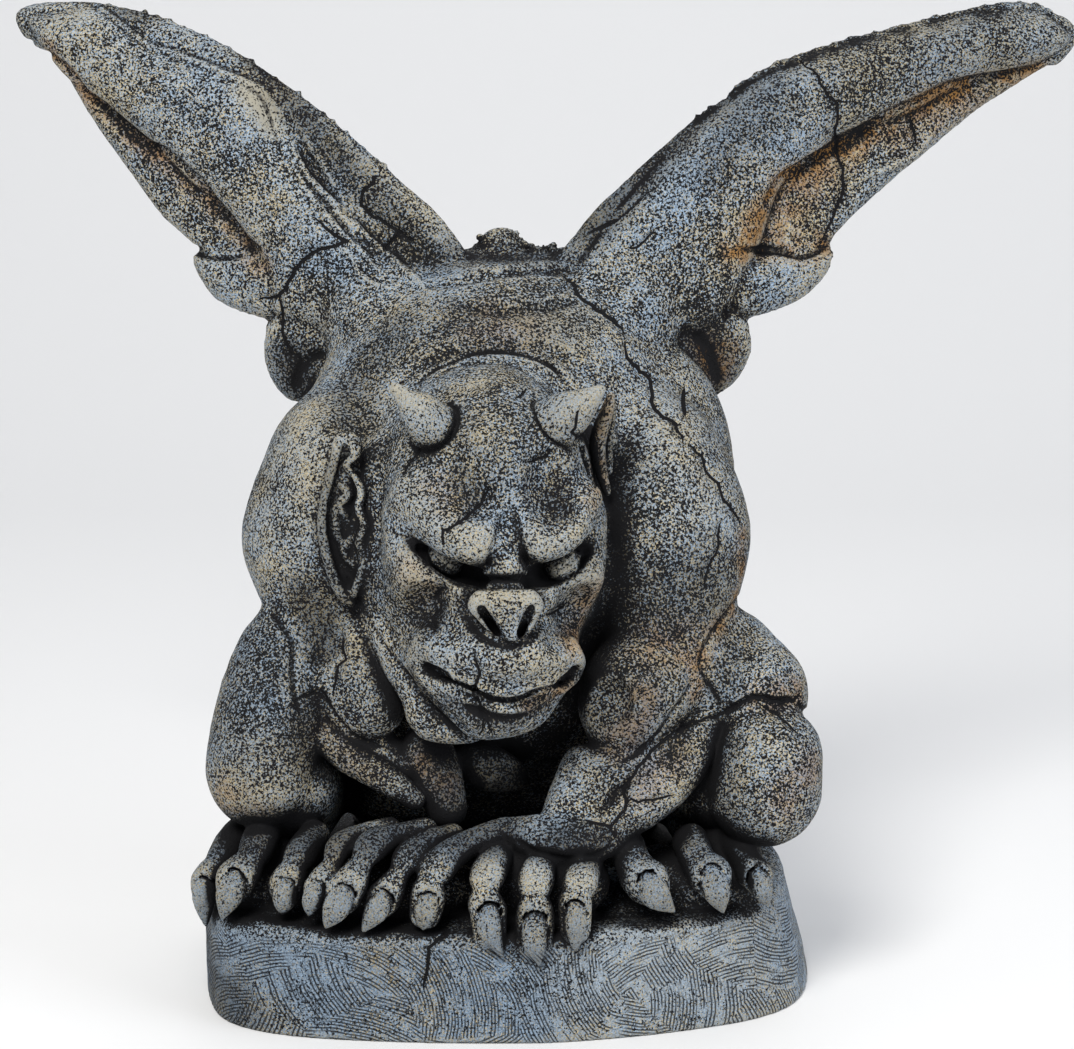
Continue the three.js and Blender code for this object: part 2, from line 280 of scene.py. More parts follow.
    def limbThrough(self, centres, radii, soft, cut):
        spots = np.column_stack([centres, radii])
        self.within((0, 0, 0))
        self.limb(spots, soft=soft, cut=cut)


def seenAt(across, down, y):
    # the point at this depth that the photograph shows at a pixel
    eye, ways = sightLines(np.array([[across, down]], float))
    return eye + ways[0] * (y - eye[1]) / ways[0][1]


def sightLines(pixels):
    # the camera's place, and its lines of sight through pixels of the photograph
    elevation = math.radians(photo["elevation"])
    ahead = np.array([0, math.cos(elevation), -math.sin(elevation)])
    upward = np.array([0, math.sin(elevation), math.cos(elevation)])
    eye = np.array(photo["target"]) - ahead * photo["distance"]
    perPixel = photo["millimetresPerPixel"] / photo["distance"]
    across = (pixels[:, 0] - photo["width"] / 2) * perPixel
    down = (pixels[:, 1] - photo["height"] / 2) * perPixel
    ways = ahead + across[:, None] * np.array([1.0, 0, 0]) - down[:, None] * upward
    return eye, ways / np.linalg.norm(ways, axis=1)[:, None]


clay = Clay()


def swell(depth, rim, thick):
    # a pillow's height at a depth in from its rim
    t = np.clip(depth / rim, 0, 1)
    return thick * np.sqrt(1 - (1 - t) ** 2)


def softMax(a, b, soft):
    return -blend(-a, -b, soft, False)


print("block and body")
block = {
    "height": 52.0,
    "edge": 6.0,
    "spread": 13.0,
    "right": 134.0,
    "outline": [(-143, -50), (-131, -84), (-100, -103), (-50, -111), (0, -113), (30, -110), (70, -98),
                (108, -78), (128, -48), (134, 0), (129, 50), (108, 84), (65, 100), (0, 106), (-70, 102),
                (-120, 86), (-142, 50), (-147, 0)],
}


def addBlock(spec):
    outline = curveThrough(spec["outline"], 4, closed=True)
    plan = Map((-165, -130), (165, 125))
    inside = outlineDistance(plan.u, plan.v, outline)
    height, edge = spec["height"], spec["edge"]

    def distance(x, y, z):
        spread = (1 - z / height) * spec["spread"] * np.clip(x / spec["right"], 0, 1)
        side = plan.read(inside, x - spread, y + 0 * z) + edge
        top = z - height + edge + 0 * side
        rounded = np.minimum(np.maximum(side, top), 0) - edge
        rounded = rounded + np.sqrt(np.maximum(side, 0) ** 2 + np.maximum(top, 0) ** 2)
        return np.maximum(rounded, -z)

    clay.add(distance, (-150, -116, 0), (150, 110, height), 2.0, False)


def addTrunk():
    clay.within((0, 0, 0))
    clay.egg((-5, 25, 262), (93, 66, 74), soft=1)
    clay.egg((-5, 36, 200), (86, 64, 142), soft=24)
    clay.egg((-5, -8, 165), (62, 44, 60), soft=20)
    for x in (-42, 38):
        clay.egg((x, 50, 98), (50, 52, 50), soft=20)
    clay.limb([(-62, 48, 316, 30), (-4, 50, 324, 24), (56, 48, 318, 30)], soft=12)  # yoke of the wings
    clay.egg((-4, 50, 350), (10, 9, 8), soft=8)  # knob of the spine
    clay.egg((-80, -6, 226), (41, 52, 64), soft=12)  # shoulders
    clay.egg((70, -6, 220), (42, 52, 66), soft=12)
    clay.egg((68, 34, 236), (42, 44, 70), soft=6)
    clay.egg((-6, -10, 255), (66, 50, 56), soft=16)  # neck


legs = {
    "left": {"side": -1, "knee": (-106, -30, 140), "forms": [
        [(283, 655, -34, 22), (278, 700, -42, 28), (266, 745, -49, 27), (262, 772, -51, 26.5)]]},
    "right": {"side": 1, "knee": (104, -22, 142), "forms": [
        [(722, 665, -16, 28), (750, 695, -30, 28)], [(768, 757, -50, 26), (764, 790, -52, 27)]]},
}


def addLegs(spec):
    for leg in spec.values():
        side, (kneeX, kneeY, kneeZ) = leg["side"], leg["knee"]
        clay.within((0, 0, 0))
        clay.limb([(side * 62 - 4, 56, 130, 46), (kneeX, kneeY, kneeZ, 27)], soft=10)  # thigh
        clay.limb([(kneeX - side * 2, kneeY - 12, 104, 24), (side * 98 - 4, 40, 76, 22),
                   (side * 108 - 4, -40, 68, 17)], soft=6)  # shin
        for form in leg["forms"]:
            addSeen(form, soft=2.5, steps=3)


def addSeen(points, soft, steps=1, cut=False):
    # a limb through points (pixel across, pixel down, depth y, radius)
    clay.within((0, 0, 0))
    clay.limb([(*seenAt(*p[:3]), p[3]) for p in points], soft=soft, cut=cut, steps=steps)


arms = {
    "left": {
        "upper": [(-88, -12, 217, 38), (-84, -22, 184, 27), (-80, -34, 150, 20)],
        "biceps": [
            [(355, 612, -46, 6), (357, 642, -51, 11), (364, 676, -56, 14), (376, 708, -60, 13.5)],
            [(348, 638, -48, 8), (338, 672, -51, 11), (346, 698, -55, 11.5), (362, 714, -58, 11)]],
        "forms": [
            [(300, 650, -38, 5), (311, 682, -44, 6.5)],  # fold of the elbow
            [(301, 692, -44, 8.5), (317, 723, -51, 9), (341, 748, -58, 8.5), (369, 768, -65, 7.5),
             (394, 784, -70, 6.5), (414, 799, -72, 5)],  # forearm
            [(427, 752, -53, 13), (436, 777, -59, 12.5), (447, 808, -64, 9)],  # chest
            [(466, 760, -46, 8), (490, 768, -46, 11), (514, 776, -42, 7)]],
        "inner": [(328, 698, -46, 9), (350, 722, -52, 10), (378, 745, -56, 9), (404, 766, -58, 8)],
    },
    "right": {
        "upper": [(76, -12, 217, 38), (74, -26, 184, 31), (76, -38, 158, 24)],
        "biceps": [[(663, 643, -38, 18), (637, 690, -50, 26.5), (622, 722, -54, 18)]],
        "forms": [
            [(706, 672, -34, 5), (705, 700, -40, 9), (698, 728, -46, 13), (683, 752, -53, 14.5),
             (662, 780, -61, 14.5), (638, 805, -70, 12.5), (610, 828, -78, 9)],  # forearm
            [(590, 775, -62, 15), (583, 793, -69, 15), (566, 815, -76, 11)]],  # wrist
        "inner": [(605, 772, -63, 13), (634, 768, -62, 13), (660, 742, -55, 13)],
    },
}
armMarks = {
    "elbowHollow": {"cut": True, "soft": 5.0, "forms": [
        [(338, 622, -57, 3), (327, 638, -59, 8), (320, 656, -58, 4)]]},
    "folds": {"width": 3.0, "depth": 3.0, "soft": 1.2, "lines": [
        [(273, 613), (283, 628), (292, 644), (292, 668), (294, 694), (303, 724)],
        [(744, 590), (728, 612), (708, 640), (700, 664), (712, 688), (722, 712)],
        [(723, 716), (738, 706), (754, 699), (775, 701), (796, 703)],
        [(321, 690), (329, 706), (344, 726), (364, 741), (390, 748)], [(621, 762), (648, 744), (672, 714), (693, 680)]]},
}


def addArms(spec):
    for arm in spec.values():
        clay.within((0, 0, 0))
        clay.limb(arm["upper"], soft=12)
        addSeen(arm["inner"], soft=6)
        for form in arm["biceps"]:
            addSeen(form, soft=3.5, steps=3)
        for form in arm["forms"]:
            addSeen(form, soft=1.6, steps=3)


addBlock(block)
addTrunk()
addLegs(legs)
addArms(arms)


print("wings")
wings = {
    "sweep": 17.0,
    "root": (47.0, 45.0, 320.0),
    "left": {
        "side": -1,
        "blade": [(205, 137), (198, 142), (185, 144), (162, 144), (129, 137), (98, 126), (74, 113), (50, 97),
                  (8, 63), (-20, 38), (-33, 5), (3, -56), (58, -51), (74, -30), (74, -10), (100, -1),
                  (112, 14), (113, 26), (129, 39), (148, 63), (168, 90), (184, 115), (200, 126)],
        "front": [(196, 134), (185, 139), (157, 141), (130, 125), (98, 116), (74, 104), (62, 82), (43, 58),
                  (12, 30), (-17, 12), (0, -14), (39, -16), (68, -6), (74, 18), (91, 42), (109, 56),
                  (131, 75), (155, 94), (179, 109)],
        "lobes": [[(112, 22), (100, 0), (74, -8), (60, 0), (62, 24), (90, 27)],
                  [(74, -12), (74, -32), (66, -46), (56, -50), (30, -50), (30, 0), (60, 0)]],
    },
    "right": {
        "side": 1,
        "blade": [(247, 125), (243, 133), (235, 137), (213, 143), (171, 137), (131, 128), (101, 120),
                  (73, 109), (61, 99), (45, 90), (12, 62), (-12, 39), (-31, 5), (10, -56), (59, -43),
                  (73, -25), (74, -10), (98, -1), (112, 11), (119, 31), (160, 65), (190, 88), (227, 110),
                  (237, 112)],
        "front": [(240, 124), (232, 134), (213, 140), (171, 135), (131, 126), (101, 118), (73, 107),
                  (45, 88), (20, 65), (-1, 42), (-21, 9), (20, -14), (51, -16), (74, 20), (83, 44),
                  (91, 60), (109, 73), (123, 81), (154, 90), (181, 103), (221, 113)],
        "lobes": [[(118, 25), (112, 11), (98, -1), (74, -8), (60, 0), (62, 22), (95, 26)],
                  [(74, -12), (73, -28), (60, -44), (40, -50), (20, -50), (20, 0), (60, 0)]],
    },
}


def addWing(spec):
    side = spec["side"]
    root = np.array([side * wings["root"][0], *wings["root"][1:]])
    turn = turned(side * wings["sweep"])
    plan = Map((-45, -70), (262, 156))
    rim = outlineDistance(plan.u, plan.v, curveThrough(spec["blade"], 4, closed=True))
    front = swell(-rim, 10, 8)
    back = swell(-rim, 12, 9)
    panel = outlineDistance(plan.u, plan.v, curveThrough(spec["front"], 4, closed=True))
    front = softMax(front, np.where(panel < 0, 3 + swell(-panel, 18, 17), 0), 3)
    for lobe in spec["lobes"]:
        depth = outlineDistance(plan.u, plan.v, curveThrough(lobe, 4, closed=True))
        front = softMax(front, np.where(depth < 0, 5 + swell(-depth, 14, 10), 0), 1.5)

    def distance(x, y, z):
        x, y, z = x - root[0], y - root[1], z - root[2]
        u = side * (turn[0, 0] * x + turn[1, 0] * y) + 0 * z
        v = z + 0 * u
        out = -(turn[0, 1] * x + turn[1, 1] * y) + 0 * z  # towards the viewer
        edge = plan.read(rim, u, v)
        ahead = out - plan.read(front, u, v)
        behind = -out - plan.read(back, u, v)
        inside = np.maximum(ahead, behind) * 0.8
        return np.where(edge > 0, np.sqrt(edge * edge + out * out), inside)

    corners = np.array([root + turn @ np.array([side * u, y, v])
                        for u in (-45, 255) for v in (-60, 148) for y in (-24, 12)])
    clay.add(distance, corners.min(axis=0), corners.max(axis=0), 3.0, False)


def topEdge(spec, first, last):
    # spots along a wing's top edge, between two points of its outline
    side = spec["side"]
    root = np.array([side * wings["root"][0], *wings["root"][1:]])
    turn = turned(side * wings["sweep"])
    edge = curveThrough(spec["blade"], 12, closed=True)[first * 12:last * 12]
    return [root + turn @ np.array([side * u, 0, v - 0.8]) for u, v in edge]


def addCrumbs(spots, count, spread, seed):
    # grains of cement left on an edge, where they touch it
    draw = np.random.default_rng(seed)
    places = np.array(spots)[draw.integers(len(spots), size=count)] + draw.normal(0, 1, (count, 3)) * spread
    halves = draw.uniform(0.7, 1.6, (count, 1)) * draw.uniform(0.7, 1.4, (count, 3))
    touching = np.abs(clay.depthAt(places)) < 0.9 * halves.min(axis=1)
    places, halves = places[touching], halves[touching]

    def distance(x, y, z):
        nearest = np.full(np.broadcast(x, y, z).shape, meshing["far"])
        for place, half in zip(places, halves):
            gaps = [max(v.min() - at, at - v.max()) for v, at in zip((x, y, z), place)]
            if max(gaps) < 12:
                away = [(v - at) / size for v, at, size in zip((x, y, z), place, half)]
                far = np.sqrt(away[0] ** 2 + away[1] ** 2 + away[2] ** 2)
                nearest = np.minimum(nearest, (far - 1) * half.min())
        return nearest

    clay.add(distance, places.min(axis=0) - 2, places.max(axis=0) + 2, 0.5, False)
    print("  ", len(places), "crumbs")


addWing(wings["left"])
addWing(wings["right"])


# Ridges and grooves of the wings and the back, in pixels of the photograph.
backMarks = {
    "wingRidges": {"radii": (1.4, 2.8, 2.4, 1.8), "sink": 0.3, "lines": [
        [(101, 9), (122, 25), (145, 44), (172, 54), (197, 63), (230, 77), (260, 90), (272, 107), (277, 124),
         (287, 147), (306, 175), (329, 202), (349, 225), (384, 250), (407, 271), (430, 292)],
        [(848, 186), (877, 172), (903, 161), (918, 150), (931, 133)]]},
    "wingStrands": {"radii": (1.0, 2.0, 1.4), "sink": 0.25, "lines": [
        [(336, 246), (352, 256), (358, 271), (372, 283), (390, 288)],
        [(342, 241), (360, 247), (368, 260), (380, 272)], [(275, 128), (296, 172), (318, 206), (344, 236)],
        [(264, 92), (280, 113), (294, 150), (312, 181), (340, 208), (367, 236), (390, 255)],
        [(290, 112), (309, 142), (324, 166), (335, 186)]]},
    "panelGrooves": {"width": 6.0, "depth": 1.8, "soft": 3.5, "lines": [
        [(25, 36), (48, 55), (67, 73), (86, 92), (107, 107), (126, 128), (145, 142), (167, 155), (191, 176),
         (211, 197), (230, 218), (249, 241), (258, 250)],
        [(1034, 67), (998, 74), (951, 86), (915, 105), (886, 117), (853, 138), (834, 148), (803, 165),
         (781, 181), (767, 203)]]},
    "lobeGrooves": {"width": 4.0, "depth": 3.0, "soft": 1.5, "lines": [
        [(186, 243), (201, 252), (220, 256), (245, 254)], [(822, 248), (803, 255), (772, 250), (740, 250)]]},
    "rootHollows": {"width": 5.0, "depth": 1.8, "soft": 3.0, "lines": [
        [(297, 388), (301, 370), (326, 352)], [(716, 380), (708, 352), (696, 338)]]},
    "backCreases": {"width": 7.0, "depth": 1.8, "soft": 4.0, "lines": [
        [(430, 285), (465, 277), (500, 272), (540, 268), (572, 270)],
        [(462, 303), (500, 309), (540, 306), (575, 300)],
        [(400, 384), (425, 362), (460, 348), (500, 343), (545, 348), (580, 366), (600, 388)]]},
    "rootGrooves": {"width": 2.5, "depth": 2.0, "lines": [
        [(651, 186), (629, 209), (608, 224), (577, 236)], [(548, 255), (556, 240), (576, 237)],
        [(333, 212), (352, 236), (380, 258)]]},
}


def sculpt(parts):
    for part in parts.values():
        soft = part.get("soft", 0.6)
        for form in part.get("forms", []):
            addSeen(form, soft, part.get("steps", 1), part.get("cut", False))
        for line in part.get("lines", []):
            if "width" in part:
                clay.press(line, part["width"], part["depth"], soft)
            elif "depth" in part:
                clay.dent(line, part["radii"], part["depth"], soft)
            else:
                clay.roll(line, part["radii"], part.get("sink", 0.5), soft)


sculpt(backMarks)
sculpt(armMarks)


print("head")
head = {"middle": (-10, -45, 248), "yaw": 7.0, "roll": 3.0}


def addHood():
    clay.within((0, 0, 0))
    clay.limb([(-54, -46, 268, 6), (-44, -32, 288, 6), (-24, -17, 303, 6.5), (-3, -12, 308, 7),
               (20, -16, 303, 6.5), (37, -28, 289, 6), (46, -42, 270, 6)], soft=4, steps=4)


def addHead(spec):
    clay.within(spec["middle"], yaw=spec["yaw"], roll=spec["roll"])
    clay.egg((0, 2, 2), (50, 56, 56), soft=6)  # skull
    clay.egg((1, -6, -38), (54, 48, 48), soft=14)  # cheeks
    clay.egg((2, -24, -76), (41, 40, 30), soft=12)  # jaw
    clay.egg((3, -24, 16), (37, 35, 32), soft=14)  # forehead
    # cheekbones, and the forms beside the nose
    clay.limb([(-38, -29, -8, 9), (-33, -39, -31, 11)], soft=16)
    clay.limb([(43, -25, -8, 9), (40, -35, -31, 11)], soft=16)
    clay.limb([(-15, -53, -36, 6), (-22, -52, -54, 8)], soft=7)
    clay.limb([(22, -52, -36, 6), (30, -48, -54, 8)], soft=7)
    clay.egg((4, -44, -63), (37, 31, 21), soft=9)  # muzzle
    clay.egg((-1, -36, -93), (33, 26, 17), soft=6)  # chin


# Forms of the face in the order they are modelled. Those with lines of (pixel across, pixel down, depth y,
# radius) stand at their own depth; the others lie on the clay where the photograph shows them.
face = {
    "side": {"soft": 8.0, "steps": 3, "forms": [
        [(382, 462, -46, 11), (379, 505, -50, 13), (380, 555, -53, 13), (388, 608, -54, 11)]]},
    "sockets": {"cut": True, "soft": 2.0, "steps": 3, "forms": [
        [(410, 538, -96, 2.5), (424, 547, -98, 5), (441, 558, -100, 6.3), (460, 571, -102, 6.3), (482, 579, -104, 5)],
        [(424, 547, -92, 4), (441, 558, -92, 6.5), (460, 570, -93, 6.5), (480, 578, -97, 4.5)],
        [(593, 540, -84, 3), (582, 551, -90, 5.5), (566, 564, -95, 6.3), (548, 574, -99, 6.3), (530, 579, -103, 5)],
        [(582, 551, -83, 4.5), (566, 563, -87, 6.5), (548, 572, -91, 6.5), (532, 578, -96, 4.5)]]},
    "eyeballs": {"soft": 1.0, "forms": [
        [(441, 556, -89.5, 6.2), (450, 561, -89.5, 6.2)], [(557, 566, -86, 6.2), (566, 561, -84.5, 6.2)]]},
    "lids": {"radii": (0.9, 1.4, 1.1), "sink": 0.1, "soft": 0.6, "lines": [
        [(430, 550), (435, 562), (445, 570), (458, 575)], [(435, 549), (448, 555), (461, 564)],
        [(438, 556), (447, 564), (459, 570)],
        [(581, 550), (575, 561), (564, 570), (551, 576)], [(575, 552), (566, 561), (553, 569)]]},
    "brows": {"soft": 7.0, "steps": 3, "forms": [
        [(424, 494, -84, 14), (436, 514, -93, 13), (456, 530, -101, 13), (475, 541, -105, 11)],
        [(488, 505, -95, 10), (482, 536, -104, 9.5)],
        [(582, 500, -81, 9), (572, 514, -89, 11.5), (556, 530, -97, 12.5), (541, 540, -101, 10.5)],
        [(526, 506, -94, 9), (533, 535, -100, 9)]]},
    "browHollows": {"radii": (8, 12, 8), "depth": 4.5, "soft": 8, "lines": [
        [(452, 456), (464, 478), (480, 496)], [(550, 472), (555, 492), (560, 514)]]},
    "frown": {"width": 3.0, "depth": 1.0, "soft": 3.0, "lines": [
        [(503, 516), (500, 532), (495, 550), (488, 565)], [(512, 516), (515, 532), (520, 550), (527, 565)]]},
    "bridge": {"soft": 2.5, "forms": [
        [(508, 500, -92, 6), (508, 524, -99, 6.5), (507, 550, -103.5, 6.5), (506, 567, -104, 8)],
        [(493, 571, -103, 4.5), (518, 571, -102, 4.5)]]},
    "bridgeCreases": {"width": 2.4, "depth": 2.6, "soft": 0.8, "lines": [
        [(478, 577), (492, 579), (505, 580), (518, 579), (530, 577)]]},
    "nose": {"soft": 2.0, "forms": [
        [(492, 588, -108, 3), (518, 588, -108, 3)],
        [(482, 602, -117, 6), (528, 602, -117, 6)], [(505, 606, -118, 7.5), (512, 632, -117, 4.5)],
        [(477, 606, -117, 4.4), (497, 632, -115, 3.4)], [(534, 606, -117, 4.4), (523, 632, -115, 3.4)]]},
    "nostrils": {"width": 3.5, "depth": 14, "lines": [
        [(480, 607), (488, 619), (499, 635)], [(532, 606), (526, 620), (519, 636)]]},
    "noseFolds": {"width": 2.6, "depth": 1.4, "soft": 2.5, "lines": [
        [(462, 602), (467, 617), (480, 633), (499, 644), (516, 645), (532, 633), (544, 617), (546, 602)]]},
    "cheekHollows": {"radii": (8, 11, 8), "depth": 3.2, "soft": 8, "lines": [
        [(420, 606), (430, 614), (440, 628)], [(582, 606), (574, 622), (566, 636)]]},
    "lipRims": {"radii": (2.5, 4.2, 3.4, 2.6), "sink": 0.6, "soft": 2.5, "lines": [
        [(424, 634), (418, 648), (416, 662), (421, 676), (432, 688)],
        [(570, 642), (575, 655), (576, 667), (571, 678), (562, 687)]]},
    "upperLip": {"radii": (1.5, 3.6, 4.2, 3.6, 1.5), "sink": 0.7, "soft": 5, "lines": [
        [(446, 672), (470, 682), (491, 690), (509, 692), (530, 688), (554, 676)]]},
    "mouthCorners": {"width": 6.0, "depth": 8, "soft": 1.5, "lines": [
        [(426, 666), (433, 670), (441, 675), (449, 680)], [(573, 668), (567, 675), (559, 682)]]},
    "mouth": {"width": 1.6, "depth": 4.5, "soft": 0.5, "lines": [
        [(436, 675), (450, 679), (473, 689), (491, 698), (509, 700), (523, 697), (533, 692), (553, 686),
         (566, 678)]]},
    "lowerLip": {"radii": (1.4, 2.4, 2.8, 2.4, 1.2), "sink": 0.55, "soft": 1.2, "lines": [
        [(438, 687), (452, 694), (472, 701), (491, 708), (512, 710), (530, 706), (546, 697)]]},
    "chinCrease": {"width": 4.0, "depth": 3.0, "soft": 1.5, "lines": [
        [(464, 706), (476, 711), (491, 717), (512, 719), (528, 715)]]},
    "jawTrim": {"cut": True, "soft": 2.5, "forms": [
        [(604, 704, -78, 14), (536, 767, -82, 14)], [(606, 706, -100, 14), (536, 768, -106, 14)],
        [(398, 697, -84, 14), (456, 757, -88, 14)], [(394, 699, -104, 14), (456, 759, -108, 14)]]},
    "throat": {"soft": 3.0, "steps": 3, "forms": [
        [(388, 626, -58, 10), (403, 660, -68, 10.5), (422, 692, -76, 10.5), (434, 718, -80, 11), (468, 726, -82, 8)]]},
    "jawLine": {"width": 2.0, "depth": 1.6, "soft": 1.5, "lines": [
        [(368, 618), (382, 641), (398, 661), (412, 678)]]},
    "horns": {"soft": 2.0, "steps": 3, "forms": [
        [(431, 424, -86, 11), (421, 414, -88, 9.5), (411, 404, -89, 5.6), (403, 396, -88, 3.6), (395, 388, -86, 2.6)],
        [(551, 425, -82, 12), (568, 414, -86, 9.8), (584, 403, -88, 6.2), (602, 389, -90, 1.8)]]},
    "hornRoots": {"width": 1.7, "depth": 2.2, "lines": [
        [(444, 402), (456, 411), (456, 427), (445, 443), (426, 451), (414, 447), (407, 432)],
        [(533, 398), (535, 417), (545, 434), (559, 445), (574, 451)]]},
    "leftEar": {"soft": 1.5, "steps": 3, "forms": [
        [(346, 470, -52, 8), (342, 510, -51, 9), (346, 560, -51, 8)],
        [(347, 463, -62, 1.4), (355, 456, -62, 2.2), (356, 446, -62, 2.8), (349, 438, -61, 2.8), (340, 441, -60, 2.6),
         (336, 455, -61, 2), (331, 474, -62, 2), (324, 500, -63, 2.3), (322, 526, -63, 2.5), (327, 554, -63, 2.8),
         (335, 580, -62, 3.2), (345, 596, -61, 3.6), (352, 603, -60, 2.6)],
        [(346, 466, -61, 1.6), (355, 478, -62, 1.8), (362, 492, -63, 2), (359, 508, -64, 2.2), (365, 524, -65, 2.4),
         (360, 542, -64, 3), (365, 556, -64, 2.4), (362, 572, -64, 3), (355, 592, -62, 2.8)],
        [(342, 580, -58, 4), (349, 592, -58, 4)]]},
    "earHollow": {"cut": True, "soft": 1.2, "steps": 3, "forms": [
        [(346, 472, -65, 2.6), (346, 490, -65, 4.6), (341, 515, -65, 5.2), (342, 545, -65, 4.8), (348, 572, -65, 3)]]},
    "earFolds": {"radii": (1.6, 3.0, 1.8), "sink": 0.15, "soft": 0.8, "lines": [
        [(340, 484), (349, 494), (338, 504), (347, 514)], [(334, 508), (336, 528), (341, 546)],
        [(353, 536), (344, 550), (352, 564)]]},
    "rightEar": {"soft": 1.5, "steps": 3, "forms": [
        [(611, 396, -70, 1.8), (606, 415, -66, 3), (598, 440, -62, 3.4), (600, 465, -58, 3), (607, 492, -54, 2)],
        [(611, 397, -66, 1.6), (612, 412, -60, 2), (608, 440, -56, 2.4), (608, 470, -52, 2.4)]]},
    "templeSlit": {"width": 3.2, "depth": 6.0, "soft": 0.8, "lines": [
        [(579, 444), (584, 462), (594, 488)]]},
    "hoodCrease": {"width": 2.4, "depth": 3.0, "soft": 0.8, "lines": [
        [(417, 386), (428, 375), (442, 367), (470, 355), (497, 352), (527, 355), (551, 367), (566, 384)]]},
    "skullCrease": {"width": 2.0, "depth": 1.8, "soft": 0.8, "lines": [
        [(421, 393), (445, 371), (473, 363), (497, 362), (517, 366), (538, 382), (553, 400)]]},
}


addHood()
addHead(head)
sculpt(face)


print("hands and feet")


claws = {"growth": 1.1, "rootShare": 0.8, "waist": 0.9, "flesh": 1.5, "slot": 0.8, "held": 0.35}
# Toes and fingers: points (pixel across, pixel down, depth y, radius) down each bone, then its claw.
digits = {
    "gripping hand": [
        ([(505, 830, -80, 6), (465, 846, -92, 6.5), (437, 867, -101, 8), (430, 880, -105, 6.2),
          (428, 892, -107, 7)], [(428, 899, -111, 3.6), (426, 912, -112, 4.8), (423, 929, -111, 0.7)]),
        ([(502, 852, -84, 6), (488, 874, -104, 8.6), (485, 890, -107, 6.4), (486, 904, -109, 8)],
         [(489, 911, -113.5, 4), (490, 929, -115.5, 5.4), (503, 957, -116, 0.7)]),
        ([(543, 858, -84, 6), (536, 880, -105, 8.8), (534, 897, -108, 6.6), (535, 911, -110, 8.4)],
         [(535, 919, -114.5, 4.2), (534, 939, -116, 5.8), (539, 966, -116, 0.7)]),
        ([(588, 862, -84, 6), (580, 881, -104, 8.4), (575, 893, -107, 6.2), (575, 902, -109, 7.6)],
         [(575, 908, -113.5, 3.8), (575, 926, -115.5, 4.8), (575, 951, -116, 0.7)]),
    ],
    "resting hand": [
        ([(452, 836, -78, 5.5), (430, 842, -88, 5.5), (409, 857, -98, 7), (400, 872, -102, 5.4),
          (390, 889, -104, 6.5)], [(384, 898, -108, 3.6), (376, 911, -110, 4.8), (363, 931, -110, 0.7)]),
        ([(425, 830, -78, 5.5), (395, 836, -88, 5.5), (372, 846, -96, 7.5), (362, 862, -101, 5.8),
          (352, 881, -104, 7.2)], [(345, 892, -108, 4.2), (337, 907, -110, 5.5), (326, 927, -110, 0.7)]),
        ([(390, 828, -74, 5), (343, 845, -90, 6.4), (334, 862, -96, 4.8), (324, 879, -99, 5.4)],
         [(319, 888, -103, 3), (313, 899, -105, 3.9), (309, 913, -104, 0.7)]),
    ],
    "left foot": [
        ([(314, 836, -60, 7), (302, 854, -78, 8), (295, 867, -86, 6.4), (290, 879, -90, 7)],
         [(287, 885, -94, 3.8), (285, 897, -95, 5), (282, 913, -94, 0.7)]),
        ([(264, 830, -52, 8), (258, 845, -70, 8.5), (250, 860, -79, 7.6), (242, 872, -83, 8.6)],
         [(236, 879, -88, 4.6), (230, 894, -90, 5.8), (222, 919, -90, 0.8)]),
        ([(242, 832, -40, 8), (229, 846, -56, 8), (219, 864, -66, 7.2), (212, 875, -70, 7.2)],
         [(208, 882, -73, 4), (204, 897, -74, 5), (206, 925, -72, 0.8)]),
    ],
    "right foot": [
        ([(626, 846, -66, 9), (632, 860, -82, 9.5), (641, 877, -90, 9.5)],
         [(647, 882, -95, 6), (655, 894, -97, 6.6), (674, 911, -97, 1)]),
        ([(690, 842, -62, 8.5), (697, 858, -77, 9), (705, 873, -84, 8.6)],
         [(711, 875, -89, 5), (716, 890, -91, 6), (723, 912, -90, 0.9)]),
        ([(735, 842, -50, 8), (745, 858, -64, 8), (752, 872, -72, 7.8)],
         [(757, 876, -77, 4.2), (762, 889, -79, 5), (768, 906, -78, 0.8)]),
    ],
}


def addHands(groups):
    clay.within((0, 0, 0))
    clay.egg((18, -80, 68), (30, 16, 20), soft=6)
    clay.egg((-50, -74, 64), (38, 16, 16), soft=6)
    clay.egg((-118, -48, 60), (26, 26, 16), soft=6)
    clay.egg((88, -48, 60), (36, 26, 16), soft=6)
    addSeen([(516, 834, -82, 8), (545, 838, -86, 11), (580, 838, -85, 12), (606, 834, -80, 11)], 4, 2)
    for name, group in groups.items():
        held = 1.1 if name == "gripping hand" else claws["held"]
        for bones, claw in group:
            waist = (*bones[-2][:3], bones[-2][3] * claws["waist"])
            addSeen([*bones[:-2], waist, bones[-1]], soft=1.5, steps=4)
            # the flesh that holds the claw, a slot round the claw's root, then the claw in it
            root, middle, point = ([*p[:3], p[3] * claws["growth"]] for p in claw)
            root[3] = middle[3] * claws["rootShare"]
            wide = middle[3] * claws["flesh"]
            edge = [a + (b - a) * held for a, b in zip(root, middle)]
            addSeen([bones[-1], (*root[:2], root[2] + 5, wide), (*edge[:2], edge[2] + 6, wide * 0.9),
                     (*middle[:2], middle[2] + 7, middle[3] * 0.9)], soft=1.5)
            addSeen([(*p[:3], p[3] + claws["slot"]) for p in (root, middle)], soft=0.5, cut=True)
            addSeen([(*root[:2], root[2] + 1, root[3]), middle, point], soft=0.3, steps=4)


handMarks = {
    "wristFold": {"width": 3.0, "depth": 3.0, "soft": 2.0, "lines": [
        [(516, 840), (530, 850), (547, 856), (576, 860), (596, 855), (610, 846)]]},
}

